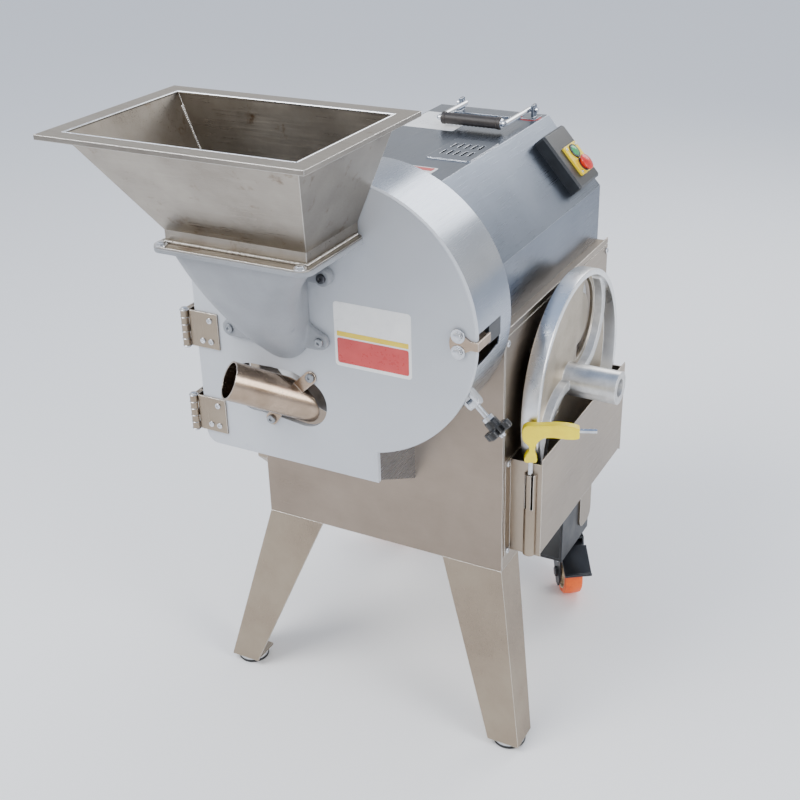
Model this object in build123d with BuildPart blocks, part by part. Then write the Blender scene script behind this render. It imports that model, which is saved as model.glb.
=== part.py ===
from build123d import *
import os
from math import acos, atan2, cos, degrees, hypot, radians, sin, sqrt

# Belt-driven vegetable slicer with a hinged front door, a steel hopper on a cast chute,
# a stainless cabinet on two front legs and two braked rear castors, and a spare disc in a
# side rack. Millimetres. X runs to the right, Y to the back, Z up from the floor.
# While modelling, x = 0 is the cabinet's middle and y = 0 its front panel.

# Sheet, fits and small stock sizes
SHEET = 1.5
PANEL_SHEET = 3.0
CLEAR = 0.3
RUNNING_FIT = 0.05
SCREW_HEAD_RADIUS = 5.0
SCREW_HEAD_HEIGHT = 2.6

# Cabinet
CABINET_WIDTH = 400.0
CABINET_DEPTH = 411.0
CABINET_BOTTOM = 273.0
CABINET_TOP = 650.0
RAIL_WIDTH = 28.0
RAIL_LIP = 6.0
SIDE_WINDOW_MARGIN = 45.0
SIDE_WINDOW_CORNER = 12.0
HALF = CABINET_WIDTH / 2

# Hood
HOOD_WIDTH = 364.0
HOOD_TOP = 840.0
HOOD_EAVE = 738.0
HOOD_FLAT = 184.0
HOOD_BEND = 5.0
HOOD_HALF = HOOD_WIDTH / 2
HOOD_FRONT = PANEL_SHEET + CLEAR
HOOD_BOTTOM = CABINET_TOP + CLEAR
LOUVRE_CENTRE = (56.0, 176.0)
LOUVRE_PAD = (68.0, 102.0)
LOUVRE_PAD_RISE = 1.5
LOUVRE_PAD_CORNER = 4.0
LOUVRE_SLOT = (24.0, 4.0)
LOUVRE_COUNTS = (5, 2)
LOUVRE_PITCHES = (10.5, 36.0)

# Cutting chamber and door
CHAMBER_CENTRE = (18.0, 684.0)
CHAMBER_RADIUS = 192.0
CHAMBER_WALL = 2.5
CHAMBER_INSET = 2.0
CHAMBER_LEFT = -222.0
CHAMBER_SHOULDER = 742.0
CHAMBER_CORNER = 18.0
CHUTE_RIGHT = 63.0
CHUTE_LIP = 450.0
CHUTE_BACK_LIP = 397.0
CHAMBER_FRONT = 104.5
DOOR_THICKNESS = 8.0
DOOR_GAP = 0.5
DOOR_EDGE_ROUND = 1.5
DOOR_BACK = CHAMBER_FRONT + DOOR_GAP
DOOR_FACE = DOOR_BACK + DOOR_THICKNESS
NOTCH_Z = (647.0, 695.0)
NOTCH_BACK = 34.0
NOTCH_SLANT = 8.0

# Hopper and cast chute on the door
RIM_OVER_DOOR = 88.0
RIM_HEIGHT = CHAMBER_CENTRE[1] + CHAMBER_RADIUS + RIM_OVER_DOOR
RIM_X = (-212.0, 105.0)
RIM_Y = (-332.0, -112.0)
RIM_FLANGE = 22.0
RIM_TURN = 6.0
NECK_HEIGHT = 825.0
NECK_X = (-156.0, 49.0)
NECK_Y = (-238.0, -116.0)
HOPPER_SHEET = 2.0
CHUTE_TOP = 807.0
CHUTE_PLATE = 7.0
CHUTE_PLATE_MARGIN = 12.0
CHUTE_PLATE_FRONT = 20.0
CHUTE_PLATE_CORNER = 16.0
CHUTE_WALL = 5.0
CHUTE_MOUTH_X = (-128.0, -32.0)
CHUTE_MOUTH_Z = (612.0, 784.0)
CHUTE_CORNER = 26.0
CHUTE_BEND_X = (-143.0, -7.0)
CHUTE_BEND_REACH = 128.0
CHUTE_BEND_CORNER = 44.0
CHUTE_NEAR = 14.0
CHUTE_LUG_RADIUS = 12.0
CHUTE_LUG_THICKNESS = 9.0
CHUTE_LUGS = ((-158.0, 646.0, -112.0), (-14.0, 651.0, -44.0))
CHUTE_BOSS = (-2.0, 745.0, -44.0)
CHUTE_BOSS_HEIGHT = 14.0

# Round feed tube through the door
TUBE_RADIUS = 27.0
TUBE_WALL = 2.0
TUBE_CROSSING = (-76.0, 554.0)
TUBE_TURN = 46.0
TUBE_DROP = 26.0
TUBE_OUTSIDE = 88.0
TUBE_INSIDE = 60.0
TUBE_SLOT_MIDDLE = (-102.0, 557.0)
TUBE_SLOT_LENGTH = 132.0
TUBE_SLOT_HEIGHT = 74.0
TUBE_PASSAGE_LENGTH = 126.0
TUBE_PASSAGE_TURN = -8
TUBE_EARS = ((-36.0, 592.0), (-104.0, 514.0))
TUBE_EAR_RADIUS = 9.0
TUBE_EAR_THICKNESS = 2.5

# Door hinges
HINGE_AXIS_X = -237.0
HINGE_AXIS_Y = -DOOR_FACE - 3.5
HINGE_PIN_RADIUS = 3.0
HINGE_KNUCKLE_RADIUS = 6.0
HINGE_LEAF = 2.5
HINGE_LEAF_REACH = 54.0
HINGE_HEIGHT = 54.0
HINGE_MIDDLES = (631.0, 498.0)
HINGE_KNUCKLES = 5
HINGE_BLOCK_WIDTH = 20.0
HINGE_BLOCK_Y = (-100.0, -40.0)
HINGE_SCREWS = ((41.0, 16.0), (41.0, -16.0), (27.0, -16.0))
HINGE_SCREW_RADIUS = 4.5
HINGE_SCREW_RISE = 2.0

# Cutting disc, also the spare
DISC_RADIUS = 168.0
DISC_DEPTH = 25.0
DISC_FLOOR = 6.0
DISC_RIM = 9.0
DISC_HUB_RADIUS = 25.0
DISC_HUB_END = 88.0
DISC_BORE_RADIUS = 14.0
DISC_EDGE_CHAMFER = 1.0
BLADE_RIM_GAP = 3.0
ARM_WIDTH = 15.0
ARM_HEIGHT = 18.0
SLOT_WIDTH = 24.0
BLADE_THICKNESS = 2.5
BLADE_WIDTH = 30.0
ARM_PATH = ((-4.0, 0), (0.0, 16), (-4.0, 54))
SLOT_PATH = ((19.0, 40), (0.0, 33), (-26.0, 67))
BLADE_PATH = ((15.0, 70), (0.0, 46), (-26.0, 76))
DISC_FACE_GAP = 22.0

# Drive inside the cabinet
SHAFT_RADIUS = DISC_BORE_RADIUS - RUNNING_FIT
SHAFT_BACK = 344.0
SHAFT_HOLE_GAP = 12.5
BEARING_FRONT_Y = 26.0
BEARING_BACK_Y = 216.0
BEARING_LENGTH = 34.0
BEARING_BASE_WIDTH = 150.0
BEARING_RADIUS = 42.0
BEARING_FLANGE = 18.0
BEARING_BOLT_RADIUS = 5.5
BEARING_BOLT_INSET = 12.0
BEARING_SLOPE = 72
PLATFORM_HEIGHT = 630.0
PLATFORM_SHEET = 6.0
PULLEY_RADIUS = 105.0
PULLEY_WIDTH = 26.0
PULLEY_Y = 298.0
MOTOR_AXIS = (CHAMBER_CENTRE[0], 392.0)
MOTOR_RADIUS = 66.0
MOTOR_FRONT = 70.0
MOTOR_BACK = 262.0
MOTOR_SHAFT_RADIUS = 9.0
MOTOR_SHAFT_INSIDE = 28.0
MOTOR_BELL = 22.0
MOTOR_RIBS = 20
MOTOR_RIB = (12.0, 3.0)
MOTOR_FEET = (96.0, 26.0, 34.0)
TERMINAL_BOX = (70.0, 52.0, 32.0)
MOTOR_PULLEY_RADIUS = 42.0
BELT_WIDTH = 13.0
BELT_HEIGHT = 9.0
GROOVE_DEPTH = 8.0

# Legs, feet and castors
LEG_SHEET = 3.0
FRONT_LEG_TOP = (96.0, 63.0)
FRONT_LEG_FOOT = (50.0, 50.0)
FRONT_LEG_CORNER = (HALF + 58.0, -62.0)
FOOT_PAD_RADIUS = 25.0
FOOT_PAD_HEIGHT = 10.0
REAR_LEG_Y = (CABINET_DEPTH - 71.0, CABINET_DEPTH - 18.0)
REAR_LEG_FLANGE = 40.0
REAR_LEG_BOTTOM = 148.0
CASTOR_X = HALF - 36.0
CASTOR_Y = CABINET_DEPTH - 28.0
CASTOR_REST = {-1: 85.0, 1: -146.0}
CASTOR_TRAIL = 21.0
CASTOR_HEIGHT = 126.0
WHEEL_RADIUS = 41.0
WHEEL_WIDTH = 32.0
WHEEL_WEB = (16.0, 27.0, 31.0)
FORK_SHEET = 3.0
FORK_GAP = 2.5
FORK_HEAD_RADIUS = 27.0
FORK_HEAD_HEIGHT = 10.0
FORK_SKIRT = 40.0
CHEEK_OUTLINE = ((-30.0, 0.0), (30.0, 0.0), (38.0, -46.0), (35.0, -88.0), (28.0, -103.0),
                 (13.0, -103.0), (-10.0, -72.0), (-30.0, -40.0))
CHEEK_CORNER = 6.0
AXLE_RADIUS = 6.0
AXLE_NUT = (9.0, 5.0)
MOUNT_WIDTH = 64.0
MOUNT_Y = (CABINET_DEPTH - 146.0, REAR_LEG_Y[1] - LEG_SHEET)
MOUNT_SHEET = 5.0
BRAKE_PIVOT = (18.0, 98.0)
BRAKE_PIN_RADIUS = 3.0
BRAKE_SHOE = (26.0, 36.0, 84.0)
PEDAL_START = (40.0, 105.0)
PEDAL_END = (83.0, 76.0)
PEDAL_WIDTH = 47.0
PEDAL_THICKNESS = 4.0
PEDAL_LIP = 5.0

# Spare disc rack and tool holder on the right side
RACK_FACE = HALF + 50.0
RACK_Y = (24.0, CABINET_DEPTH - 31.0)
RACK_Z = (305.0, 460.0)
RACK_FRONT_Z = (300.0, 452.0)
RACK_SHELF_WIDTH = 132.0
RACK_STRIP = 17.0
RACK_GUSSET = (50.0, 34.0)
SPARE_BACK = HALF + 12.0
SPARE_Y = CABINET_DEPTH / 2 - 6.5
SPARE_Z = 505.0
HOLDER_X = HALF + 33.0
HOLDER_RADIUS = 9.5
HOLDER_Z = (302.0, 436.0)
HOLDER_SLOT = (3.0, 56.0)
KEY_ACROSS_FLATS = 6.0
KEY_TURN = 23.0
KEY_ARM_Z = 507.0
KEY_ARM_END = 90.0
GRIP_STEM_Z = 458.0
GRIP_THICKNESS = 13.0

# Swing bolt and its star knob
SWING_EYE = (199.0, 596.0)
SWING_Y = -95.0
SWING_ANGLE = -44.0
SWING_EYE_RADIUS = 7.0
SWING_PIN_RADIUS = 3.0
SWING_ROD_RADIUS = 4.0
SWING_LENGTH = 52.0
KNOB_START = 30.0
KNOB_HUB_RADIUS = 11.0
KNOB_HEIGHT = 24.0
KNOB_STAR_RADIUS = 22.0

# Switch and handle on the hood
SWITCH_Y = 352.0
SWITCH_SLOPE = 74.0
SWITCH_BOX = (96.0, 80.0, 20.0)
SWITCH_FACE = (50.0, 46.0, 4.0)
BUTTON_RADIUS = 9.0
STOP_RADIUS = 13.0
BUTTON_TRAVEL = 3.0
HANDLE_X = 18.0
HANDLE_SPAN = 108.0
HANDLE_PIVOT_Y = 384.0
HANDLE_REACH = 96.0
HANDLE_RISE = 13.0
GRIP_RADIUS = 9.0
BAIL_RADIUS = 4.0
BRACKET_PLATE = (30.0, 30.0, 2.0)
BRACKET_EAR = (14.0, 4.0)

pieces = {}


def keep(part, name):
    """Label a finished piece and hold it until all are placed on the model's origin."""
    part.label = name
    pieces[name] = part


def rectangle(x_range, y_range, grow, mode=Mode.ADD):
    """Rectangle between two pairs of limits, grown on every side."""
    with Locations((sum(x_range) / 2, sum(y_range) / 2)):
        Rectangle(x_range[1] - x_range[0] + 2 * grow, y_range[1] - y_range[0] + 2 * grow, mode=mode)


def chamber_outline():
    """Outline shared by the door and the chamber: a circle joined to a straight left side."""
    cx, cz = CHAMBER_CENTRE
    reach = hypot(CHAMBER_LEFT - cx, CHAMBER_SHOULDER - cz)
    bearing = atan2(CHAMBER_SHOULDER - cz, CHAMBER_LEFT - cx)
    touch = bearing - acos(CHAMBER_RADIUS / reach)
    top = (cx + CHAMBER_RADIUS * cos(touch), cz + CHAMBER_RADIUS * sin(touch))
    step = cz - sqrt(CHAMBER_RADIUS ** 2 - (CHUTE_RIGHT - cx) ** 2)
    start = degrees(atan2(step - cz, CHUTE_RIGHT - cx))
    with BuildLine() as edge:
        CenterArc((cx, cz), CHAMBER_RADIUS, start, degrees(touch) - start)
        Polyline(top, (CHAMBER_LEFT, CHAMBER_SHOULDER), (CHAMBER_LEFT, CHUTE_LIP),
                 (CHUTE_RIGHT, CHUTE_LIP), (CHUTE_RIGHT, step))
    return edge


def door_face():
    """Sketch of the door plate, drawn in the X-Z plane at y = 0."""
    with BuildSketch(Plane.XZ) as face:
        edge = chamber_outline()
        add(edge.line)
        make_face()
        left = face.vertices().filter_by_position(Axis.X, CHAMBER_LEFT - 1, CHAMBER_LEFT + 1)
        fillet(left, CHAMBER_CORNER)
    return face


def hood_section(bottom):
    """End profile of the hood: upright sides, slopes and a flat top with rounded bends."""
    flat = HOOD_FLAT / 2
    points = [(-HOOD_HALF, bottom), (-HOOD_HALF, HOOD_EAVE), (-flat, HOOD_TOP),
              (flat, HOOD_TOP), (HOOD_HALF, HOOD_EAVE), (HOOD_HALF, bottom)]
    with BuildSketch(Plane.XZ) as section:
        with BuildLine():
            Polyline(*points, close=True)
        make_face()
        bends = section.vertices().filter_by_position(Axis.Z, HOOD_EAVE - 1, HOOD_TOP + 1)
        fillet(bends, HOOD_BEND)
    return section


# Front panel: one plate behind the chamber, as wide as the cabinet below and the hood above
with BuildPart() as front_panel:
    with BuildSketch(Plane.XZ) as panel_face:
        add(hood_section(CABINET_TOP).sketch)
        with Locations((0, (CABINET_BOTTOM + CABINET_TOP + RAIL_LIP) / 2)):
            Rectangle(CABINET_WIDTH, CABINET_TOP + RAIL_LIP - CABINET_BOTTOM)
        with Locations(CHAMBER_CENTRE):
            Circle(SHAFT_RADIUS + SHAFT_HOLE_GAP, mode=Mode.SUBTRACT)
    extrude(amount=-PANEL_SHEET)
keep(front_panel.part, "front_panel")

# Cabinet: folded sheet with a floor, two side walls and channel rails for the hood
WALL_TOP = CABINET_TOP - SHEET
RAIL_INNER = HALF - RAIL_WIDTH
with BuildPart() as cabinet_shell:
    with BuildSketch(Plane.XZ.offset(-PANEL_SHEET)):
        with Locations((0, (CABINET_BOTTOM + CABINET_TOP) / 2)):
            Rectangle(CABINET_WIDTH - 2 * SHEET, CABINET_TOP - CABINET_BOTTOM)
        with Locations((0, (CABINET_BOTTOM + SHEET + WALL_TOP) / 2)):
            Rectangle(CABINET_WIDTH - 4 * SHEET, WALL_TOP - CABINET_BOTTOM - SHEET,
                      mode=Mode.SUBTRACT)
        with Locations((0, CABINET_TOP)):
            Rectangle(2 * RAIL_INNER, 4 * SHEET, mode=Mode.SUBTRACT)
        for side in (-1, 1):
            with Locations((side * (HALF - SHEET / 2), CABINET_TOP + RAIL_LIP / 2 - SHEET)):
                Rectangle(SHEET, RAIL_LIP + 2 * SHEET)
            with Locations((side * (RAIL_INNER + SHEET / 2), CABINET_TOP + RAIL_LIP / 2)):
                Rectangle(SHEET, RAIL_LIP + SHEET)
    extrude(amount=-(CABINET_DEPTH - PANEL_SHEET - SHEET))
    window_y = (PANEL_SHEET + SIDE_WINDOW_MARGIN, CABINET_DEPTH - SIDE_WINDOW_MARGIN)
    window_z = (CABINET_BOTTOM + SIDE_WINDOW_MARGIN, CABINET_TOP - SIDE_WINDOW_MARGIN)
    with BuildSketch(Plane.YZ.offset(HALF - 3 * SHEET)):
        with Locations((sum(window_y) / 2, sum(window_z) / 2)):
            RectangleRounded(window_y[1] - window_y[0], window_z[1] - window_z[0], SIDE_WINDOW_CORNER)
    extrude(amount=3 * SHEET, mode=Mode.SUBTRACT)
keep(cabinet_shell.part, "cabinet_shell")

# Screwed right side panel, flush with the front panel's edge
SIDE_PANEL_Y = (PANEL_SHEET + 1, CABINET_DEPTH - SHEET)
SIDE_PANEL_Z = (CABINET_BOTTOM, CABINET_TOP - 3 * SHEET)
SIDE_SCREWS = [(SIDE_PANEL_Y[0] + 6, SIDE_PANEL_Z[1] - 10), (SIDE_PANEL_Y[1] - 6, SIDE_PANEL_Z[1] - 10),
               (SIDE_PANEL_Y[1] - 6, SIDE_PANEL_Z[0] + 24)]
with BuildPart() as right_side_panel:
    with BuildSketch(Plane.YZ.offset(HALF - SHEET)):
        with Locations((sum(SIDE_PANEL_Y) / 2, sum(SIDE_PANEL_Z) / 2)):
            Rectangle(SIDE_PANEL_Y[1] - SIDE_PANEL_Y[0], SIDE_PANEL_Z[1] - SIDE_PANEL_Z[0])
    extrude(amount=SHEET)
keep(right_side_panel.part, "right_side_panel")

# Left side cover: a shallow tray that stands off the wall, lower front corner cut away
COVER_DEPTH = 28.0
COVER_Y = (14.0, CABINET_DEPTH - 15.0)
COVER_Z = (CABINET_BOTTOM + 39.0, CABINET_TOP - 18.0)
COVER_CUT = 46.0
with BuildPart() as left_side_cover:
    with BuildSketch(Plane.YZ.offset(-HALF + SHEET)) as cover_face:
        with BuildLine():
            Polyline((COVER_Y[0], COVER_Z[0] + COVER_CUT), (COVER_Y[0] + COVER_CUT, COVER_Z[0]),
                     (COVER_Y[1], COVER_Z[0]), (COVER_Y[1], COVER_Z[1]),
                     (COVER_Y[0], COVER_Z[1]), close=True)
        make_face()
    extrude(amount=-COVER_DEPTH)
    inner_side = left_side_cover.faces().sort_by(Axis.X)[-1]
    offset(amount=-SHEET, openings=inner_side)
keep(left_side_cover.part, "left_side_cover")

# Rear panel with pressed louvre slots low down, behind the motor
REAR_HALF = HALF - 2 * SHEET
REAR_Z = (CABINET_BOTTOM, CABINET_TOP)
VENT_SLOT = (64.0, 5.0)
VENT_COUNTS = (2, 5)
VENT_PITCHES = (84.0, 16.0)
REAR_SCREWS = [(x, z) for x in (-REAR_HALF + 10, REAR_HALF - 10)
               for z in (REAR_Z[0] + 14, REAR_Z[1] - 14)]
with BuildPart() as rear_panel:
    with BuildSketch(Plane.XZ.offset(-(CABINET_DEPTH - SHEET))):
        with Locations((0, sum(REAR_Z) / 2)):
            Rectangle(2 * HALF - 2 * SHEET, REAR_Z[1] - REAR_Z[0])
        with Locations((0, MOTOR_AXIS[1])):
            with GridLocations(*VENT_PITCHES, *VENT_COUNTS):
                SlotOverall(*VENT_SLOT, mode=Mode.SUBTRACT)
    extrude(amount=-SHEET)
keep(rear_panel.part, "rear_panel")

# Pan-head screws that hold the side panel, the rear panel and the rack
RACK_SCREWS = [(RACK_Y[0] - RACK_STRIP / 2, z) for z in (RACK_FRONT_Z[0] + 3, RACK_FRONT_Z[1] - 4)]
with BuildPart() as panel_screws:
    with BuildSketch(Plane.YZ.offset(HALF)):
        with Locations(*SIDE_SCREWS):
            Circle(SCREW_HEAD_RADIUS)
    extrude(amount=SCREW_HEAD_HEIGHT)
    with BuildSketch(Plane.YZ.offset(HALF + SHEET)):
        with Locations(*RACK_SCREWS):
            Circle(SCREW_HEAD_RADIUS)
    extrude(amount=SCREW_HEAD_HEIGHT)
    with BuildSketch(Plane.XZ.offset(-CABINET_DEPTH)):
        with Locations(*REAR_SCREWS):
            Circle(SCREW_HEAD_RADIUS)
    extrude(amount=-SCREW_HEAD_HEIGHT)
    outer_rims = panel_screws.edges().filter_by(GeomType.CIRCLE)
    side_rims = outer_rims.filter_by_position(
        Axis.X, HALF + SCREW_HEAD_HEIGHT - 0.1, HALF + SCREW_HEAD_HEIGHT + 0.1)
    fillet(side_rims, SCREW_HEAD_HEIGHT / 2)
keep(panel_screws.part, "panel_screws")

# Hood: folded roof sheet with a closed back, a louvred pad and no floor or front
with BuildPart() as hood:
    with BuildSketch(Plane.XZ.offset(-HOOD_FRONT)):
        add(hood_section(HOOD_BOTTOM).sketch)
    extrude(amount=-(CABINET_DEPTH - HOOD_FRONT))
    with BuildSketch(Plane.XZ):
        add(hood_section(HOOD_BOTTOM - 3 * SHEET).sketch)
        offset(amount=-SHEET)
    extrude(amount=-(CABINET_DEPTH - SHEET), mode=Mode.SUBTRACT)
    with BuildSketch(Plane.XY.offset(HOOD_TOP)):
        with Locations(LOUVRE_CENTRE):
            RectangleRounded(*LOUVRE_PAD, LOUVRE_PAD_CORNER)
    extrude(amount=LOUVRE_PAD_RISE)
    with BuildSketch(Plane.XY.offset(HOOD_TOP - 2 * SHEET)):
        with Locations(LOUVRE_CENTRE):
            with GridLocations(*LOUVRE_PITCHES, *LOUVRE_COUNTS):
                SlotOverall(*LOUVRE_SLOT, rotation=90)
    extrude(amount=4 * SHEET, mode=Mode.SUBTRACT)
keep(hood.part, "hood")

# Carrying frame inside: platform for the shaft bearings, motor shelf and corner posts
POST = 30.0
POST_WALL = 3.0
FRAME_MARGIN = 52.0
FLOOR_TOP = CABINET_BOTTOM + SHEET
FRAME_X = (CHAMBER_CENTRE[0] - BEARING_BASE_WIDTH / 2 - FRAME_MARGIN,
           CHAMBER_CENTRE[0] + BEARING_BASE_WIDTH / 2 + FRAME_MARGIN)
FRAME_Y = (PANEL_SHEET, MOTOR_BACK + 4)
BEARING_FOOT = CHAMBER_CENTRE[1] - PLATFORM_HEIGHT - PLATFORM_SHEET
MOTOR_SHELF = MOTOR_AXIS[1] - MOTOR_RADIUS - 10
with BuildPart() as base_frame:
    with BuildSketch(Plane.XY.offset(PLATFORM_HEIGHT)):
        with Locations((sum(FRAME_X) / 2, sum(FRAME_Y) / 2)):
            Rectangle(FRAME_X[1] - FRAME_X[0], FRAME_Y[1] - FRAME_Y[0])
    extrude(amount=PLATFORM_SHEET)
    with BuildSketch(Plane.XY.offset(MOTOR_SHELF - PLATFORM_SHEET)):
        with Locations((sum(FRAME_X) / 2, sum(FRAME_Y) / 2)):
            Rectangle(FRAME_X[1] - FRAME_X[0], FRAME_Y[1] - FRAME_Y[0])
    extrude(amount=PLATFORM_SHEET)
    with BuildSketch(Plane.XY.offset(FLOOR_TOP)):
        with Locations((sum(FRAME_X) / 2, sum(FRAME_Y) / 2)):
            with GridLocations(FRAME_X[1] - FRAME_X[0] - POST, FRAME_Y[1] - FRAME_Y[0] - POST, 2, 2):
                Rectangle(POST, POST)
                Rectangle(POST - 2 * POST_WALL, POST - 2 * POST_WALL, mode=Mode.SUBTRACT)
    extrude(amount=PLATFORM_HEIGHT - FLOOR_TOP)
keep(base_frame.part, "base_frame")


def bearing_block(front_y):
    """Pillow block: a base with two rounded ends under a round housing."""
    cx, cz = CHAMBER_CENTRE
    with BuildPart() as block:
        with BuildSketch(Plane.XZ.offset(-front_y)):
            with Locations((cx, cz)):
                Circle(BEARING_RADIUS)
            with Locations((cx, cz - BEARING_FOOT + BEARING_FLANGE / 2)):
                Rectangle(BEARING_BASE_WIDTH, BEARING_FLANGE)
            with Locations((cx, cz - BEARING_FOOT / 2)):
                Trapezoid(2.6 * BEARING_RADIUS, BEARING_FOOT, BEARING_SLOPE)
            with Locations((cx, cz)):
                Circle(SHAFT_RADIUS + RUNNING_FIT, mode=Mode.SUBTRACT)
        extrude(amount=-BEARING_LENGTH)
        with BuildSketch(Plane.XY.offset(cz - BEARING_FOOT)):
            with Locations((cx, front_y + BEARING_LENGTH / 2)):
                with GridLocations(BEARING_BASE_WIDTH - 2 * BEARING_BOLT_INSET, 1, 2, 1):
                    Circle(BEARING_BOLT_RADIUS)
        extrude(amount=BEARING_FLANGE + 1, mode=Mode.SUBTRACT)
    return block.part


keep(bearing_block(BEARING_FRONT_Y), "front_bearing_block")
keep(bearing_block(BEARING_BACK_Y), "rear_bearing_block")

# Motor: ribbed barrel between two end bells, on cast feet, with a terminal box
BARREL_RADIUS = MOTOR_RADIUS - 8
MOTOR_MIDDLE_Y = (MOTOR_FRONT + MOTOR_BACK) / 2
with BuildPart() as motor:
    with BuildSketch(Plane.XZ.offset(-MOTOR_FRONT)):
        with Locations(MOTOR_AXIS):
            Circle(BARREL_RADIUS)
            with PolarLocations(BARREL_RADIUS + 1, MOTOR_RIBS):
                Rectangle(*MOTOR_RIB)
    extrude(amount=-(MOTOR_BACK - MOTOR_FRONT))
    for bell in (MOTOR_FRONT, MOTOR_BACK - MOTOR_BELL):
        with BuildSketch(Plane.XZ.offset(-bell)):
            with Locations(MOTOR_AXIS):
                Circle(MOTOR_RADIUS)
        extrude(amount=-MOTOR_BELL)
    with BuildSketch(Plane.XY.offset(MOTOR_SHELF)):
        with Locations((MOTOR_AXIS[0], MOTOR_MIDDLE_Y)):
            with GridLocations(MOTOR_FEET[0], 1, 2, 1):
                Rectangle(MOTOR_FEET[1], MOTOR_BACK - MOTOR_FRONT - 3 * MOTOR_BELL)
    extrude(amount=MOTOR_FEET[2])
    with BuildSketch(Plane.YZ.offset(MOTOR_AXIS[0] + BARREL_RADIUS - 6)):
        with Locations((MOTOR_MIDDLE_Y, MOTOR_AXIS[1])):
            Rectangle(*TERMINAL_BOX[:2])
    extrude(amount=TERMINAL_BOX[2])
    with BuildSketch(Plane.XZ.offset(-(MOTOR_BACK - MOTOR_SHAFT_INSIDE - 2))):
        with Locations(MOTOR_AXIS):
            Circle(MOTOR_SHAFT_RADIUS + RUNNING_FIT)
    extrude(amount=-(MOTOR_SHAFT_INSIDE + 3), mode=Mode.SUBTRACT)
keep(motor.part, "motor")

GROOVE_WIDTH = BELT_WIDTH + 2 * CLEAR


def pulley(centre, radius, bore):
    """V-belt pulley about a Y axis: rim with one groove, thin web and hub."""
    mid = PULLEY_WIDTH / 2
    with BuildPart() as wheel:
        with BuildSketch(Plane.YZ):
            with BuildLine():
                Polyline((-mid, bore), (-mid, radius), (-GROOVE_WIDTH / 2, radius),
                         (-GROOVE_WIDTH / 2, radius - GROOVE_DEPTH),
                         (GROOVE_WIDTH / 2, radius - GROOVE_DEPTH),
                         (GROOVE_WIDTH / 2, radius), (mid, radius), (mid, bore), close=True)
            make_face()
        revolve(axis=Axis.Y)
    return wheel.part.moved(Location((centre[0], PULLEY_Y, centre[1])))


# Shaft and driven pulley turn with the cutting disc; the motor shaft carries the small pulley
DISC_PLATE_Y = -(DOOR_BACK - DISC_FACE_GAP)
with BuildPart() as main_shaft:
    with BuildSketch(Plane.XZ.offset(-DISC_PLATE_Y - DISC_FLOOR)):
        with Locations(CHAMBER_CENTRE):
            Circle(SHAFT_RADIUS)
    extrude(amount=-(SHAFT_BACK - DISC_PLATE_Y - DISC_FLOOR))
    chamfer(main_shaft.edges().sort_by(Axis.Y)[-1], 1.5)
keep(main_shaft.part, "main_shaft")
keep(pulley(CHAMBER_CENTRE, PULLEY_RADIUS, SHAFT_RADIUS), "driven_pulley")
keep(pulley(MOTOR_AXIS, MOTOR_PULLEY_RADIUS, MOTOR_SHAFT_RADIUS), "motor_pulley")
with BuildPart() as motor_shaft:
    with BuildSketch(Plane.XZ.offset(-(MOTOR_BACK - MOTOR_SHAFT_INSIDE))):
        with Locations(MOTOR_AXIS):
            Circle(MOTOR_SHAFT_RADIUS)
    extrude(amount=-(PULLEY_Y + PULLEY_WIDTH - MOTOR_BACK + MOTOR_SHAFT_INSIDE))
keep(motor_shaft.part, "motor_shaft")

# Drive belt: a closed loop round both pulleys, lying in their grooves
with BuildPart() as drive_belt:
    with BuildSketch(Plane.XZ.offset(-PULLEY_Y + BELT_WIDTH / 2)) as loop:
        with BuildLine() as circles:
            CenterArc(CHAMBER_CENTRE, PULLEY_RADIUS - GROOVE_DEPTH + CLEAR + BELT_HEIGHT, 0, 360)
            CenterArc(MOTOR_AXIS, MOTOR_PULLEY_RADIUS - GROOVE_DEPTH + CLEAR + BELT_HEIGHT, 0, 360)
        make_hull()
        offset(amount=-BELT_HEIGHT, mode=Mode.SUBTRACT)
    extrude(amount=-BELT_WIDTH)
keep(drive_belt.part, "drive_belt")

# Chamber: rolled strip welded to the front panel, straight on the left, open below as a chute
with BuildPart() as chamber_shell:
    with BuildSketch(Plane.XZ) as wall_section:
        add(door_face().sketch)
        with Locations(((CHAMBER_LEFT + CHUTE_RIGHT) / 2, (CHUTE_LIP + CHUTE_BACK_LIP) / 2)):
            Rectangle(CHUTE_RIGHT - CHAMBER_LEFT, CHUTE_LIP - CHUTE_BACK_LIP + 2 * CHAMBER_CORNER)
        offset(amount=-CHAMBER_INSET)
        offset(amount=-CHAMBER_WALL, mode=Mode.SUBTRACT)
    extrude(amount=CHAMBER_FRONT)
    low = CHUTE_BACK_LIP - 2 * CHAMBER_CORNER
    with BuildSketch(Plane.YZ.offset(CHAMBER_LEFT - 5)):
        with BuildLine():
            Polyline((1, low), (1, CHUTE_BACK_LIP), (-CHAMBER_FRONT, CHUTE_LIP),
                     (-CHAMBER_FRONT - 1, CHUTE_LIP), (-CHAMBER_FRONT - 1, low), close=True)
        make_face()
    extrude(amount=CHUTE_RIGHT - CHAMBER_LEFT + 10, mode=Mode.SUBTRACT)
    with BuildSketch(Plane.YZ.offset(CHAMBER_CENTRE[0] + CHAMBER_RADIUS / 2)):
        with BuildLine():
            Polyline((-NOTCH_BACK, NOTCH_Z[0] + NOTCH_SLANT), (-NOTCH_BACK, NOTCH_Z[1]),
                     (-CHAMBER_FRONT - 1, NOTCH_Z[1]), (-CHAMBER_FRONT - 1, NOTCH_Z[0]),
                     close=True)
        make_face()
    extrude(amount=CHAMBER_RADIUS, mode=Mode.SUBTRACT)
keep(chamber_shell.part, "chamber_shell")

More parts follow.
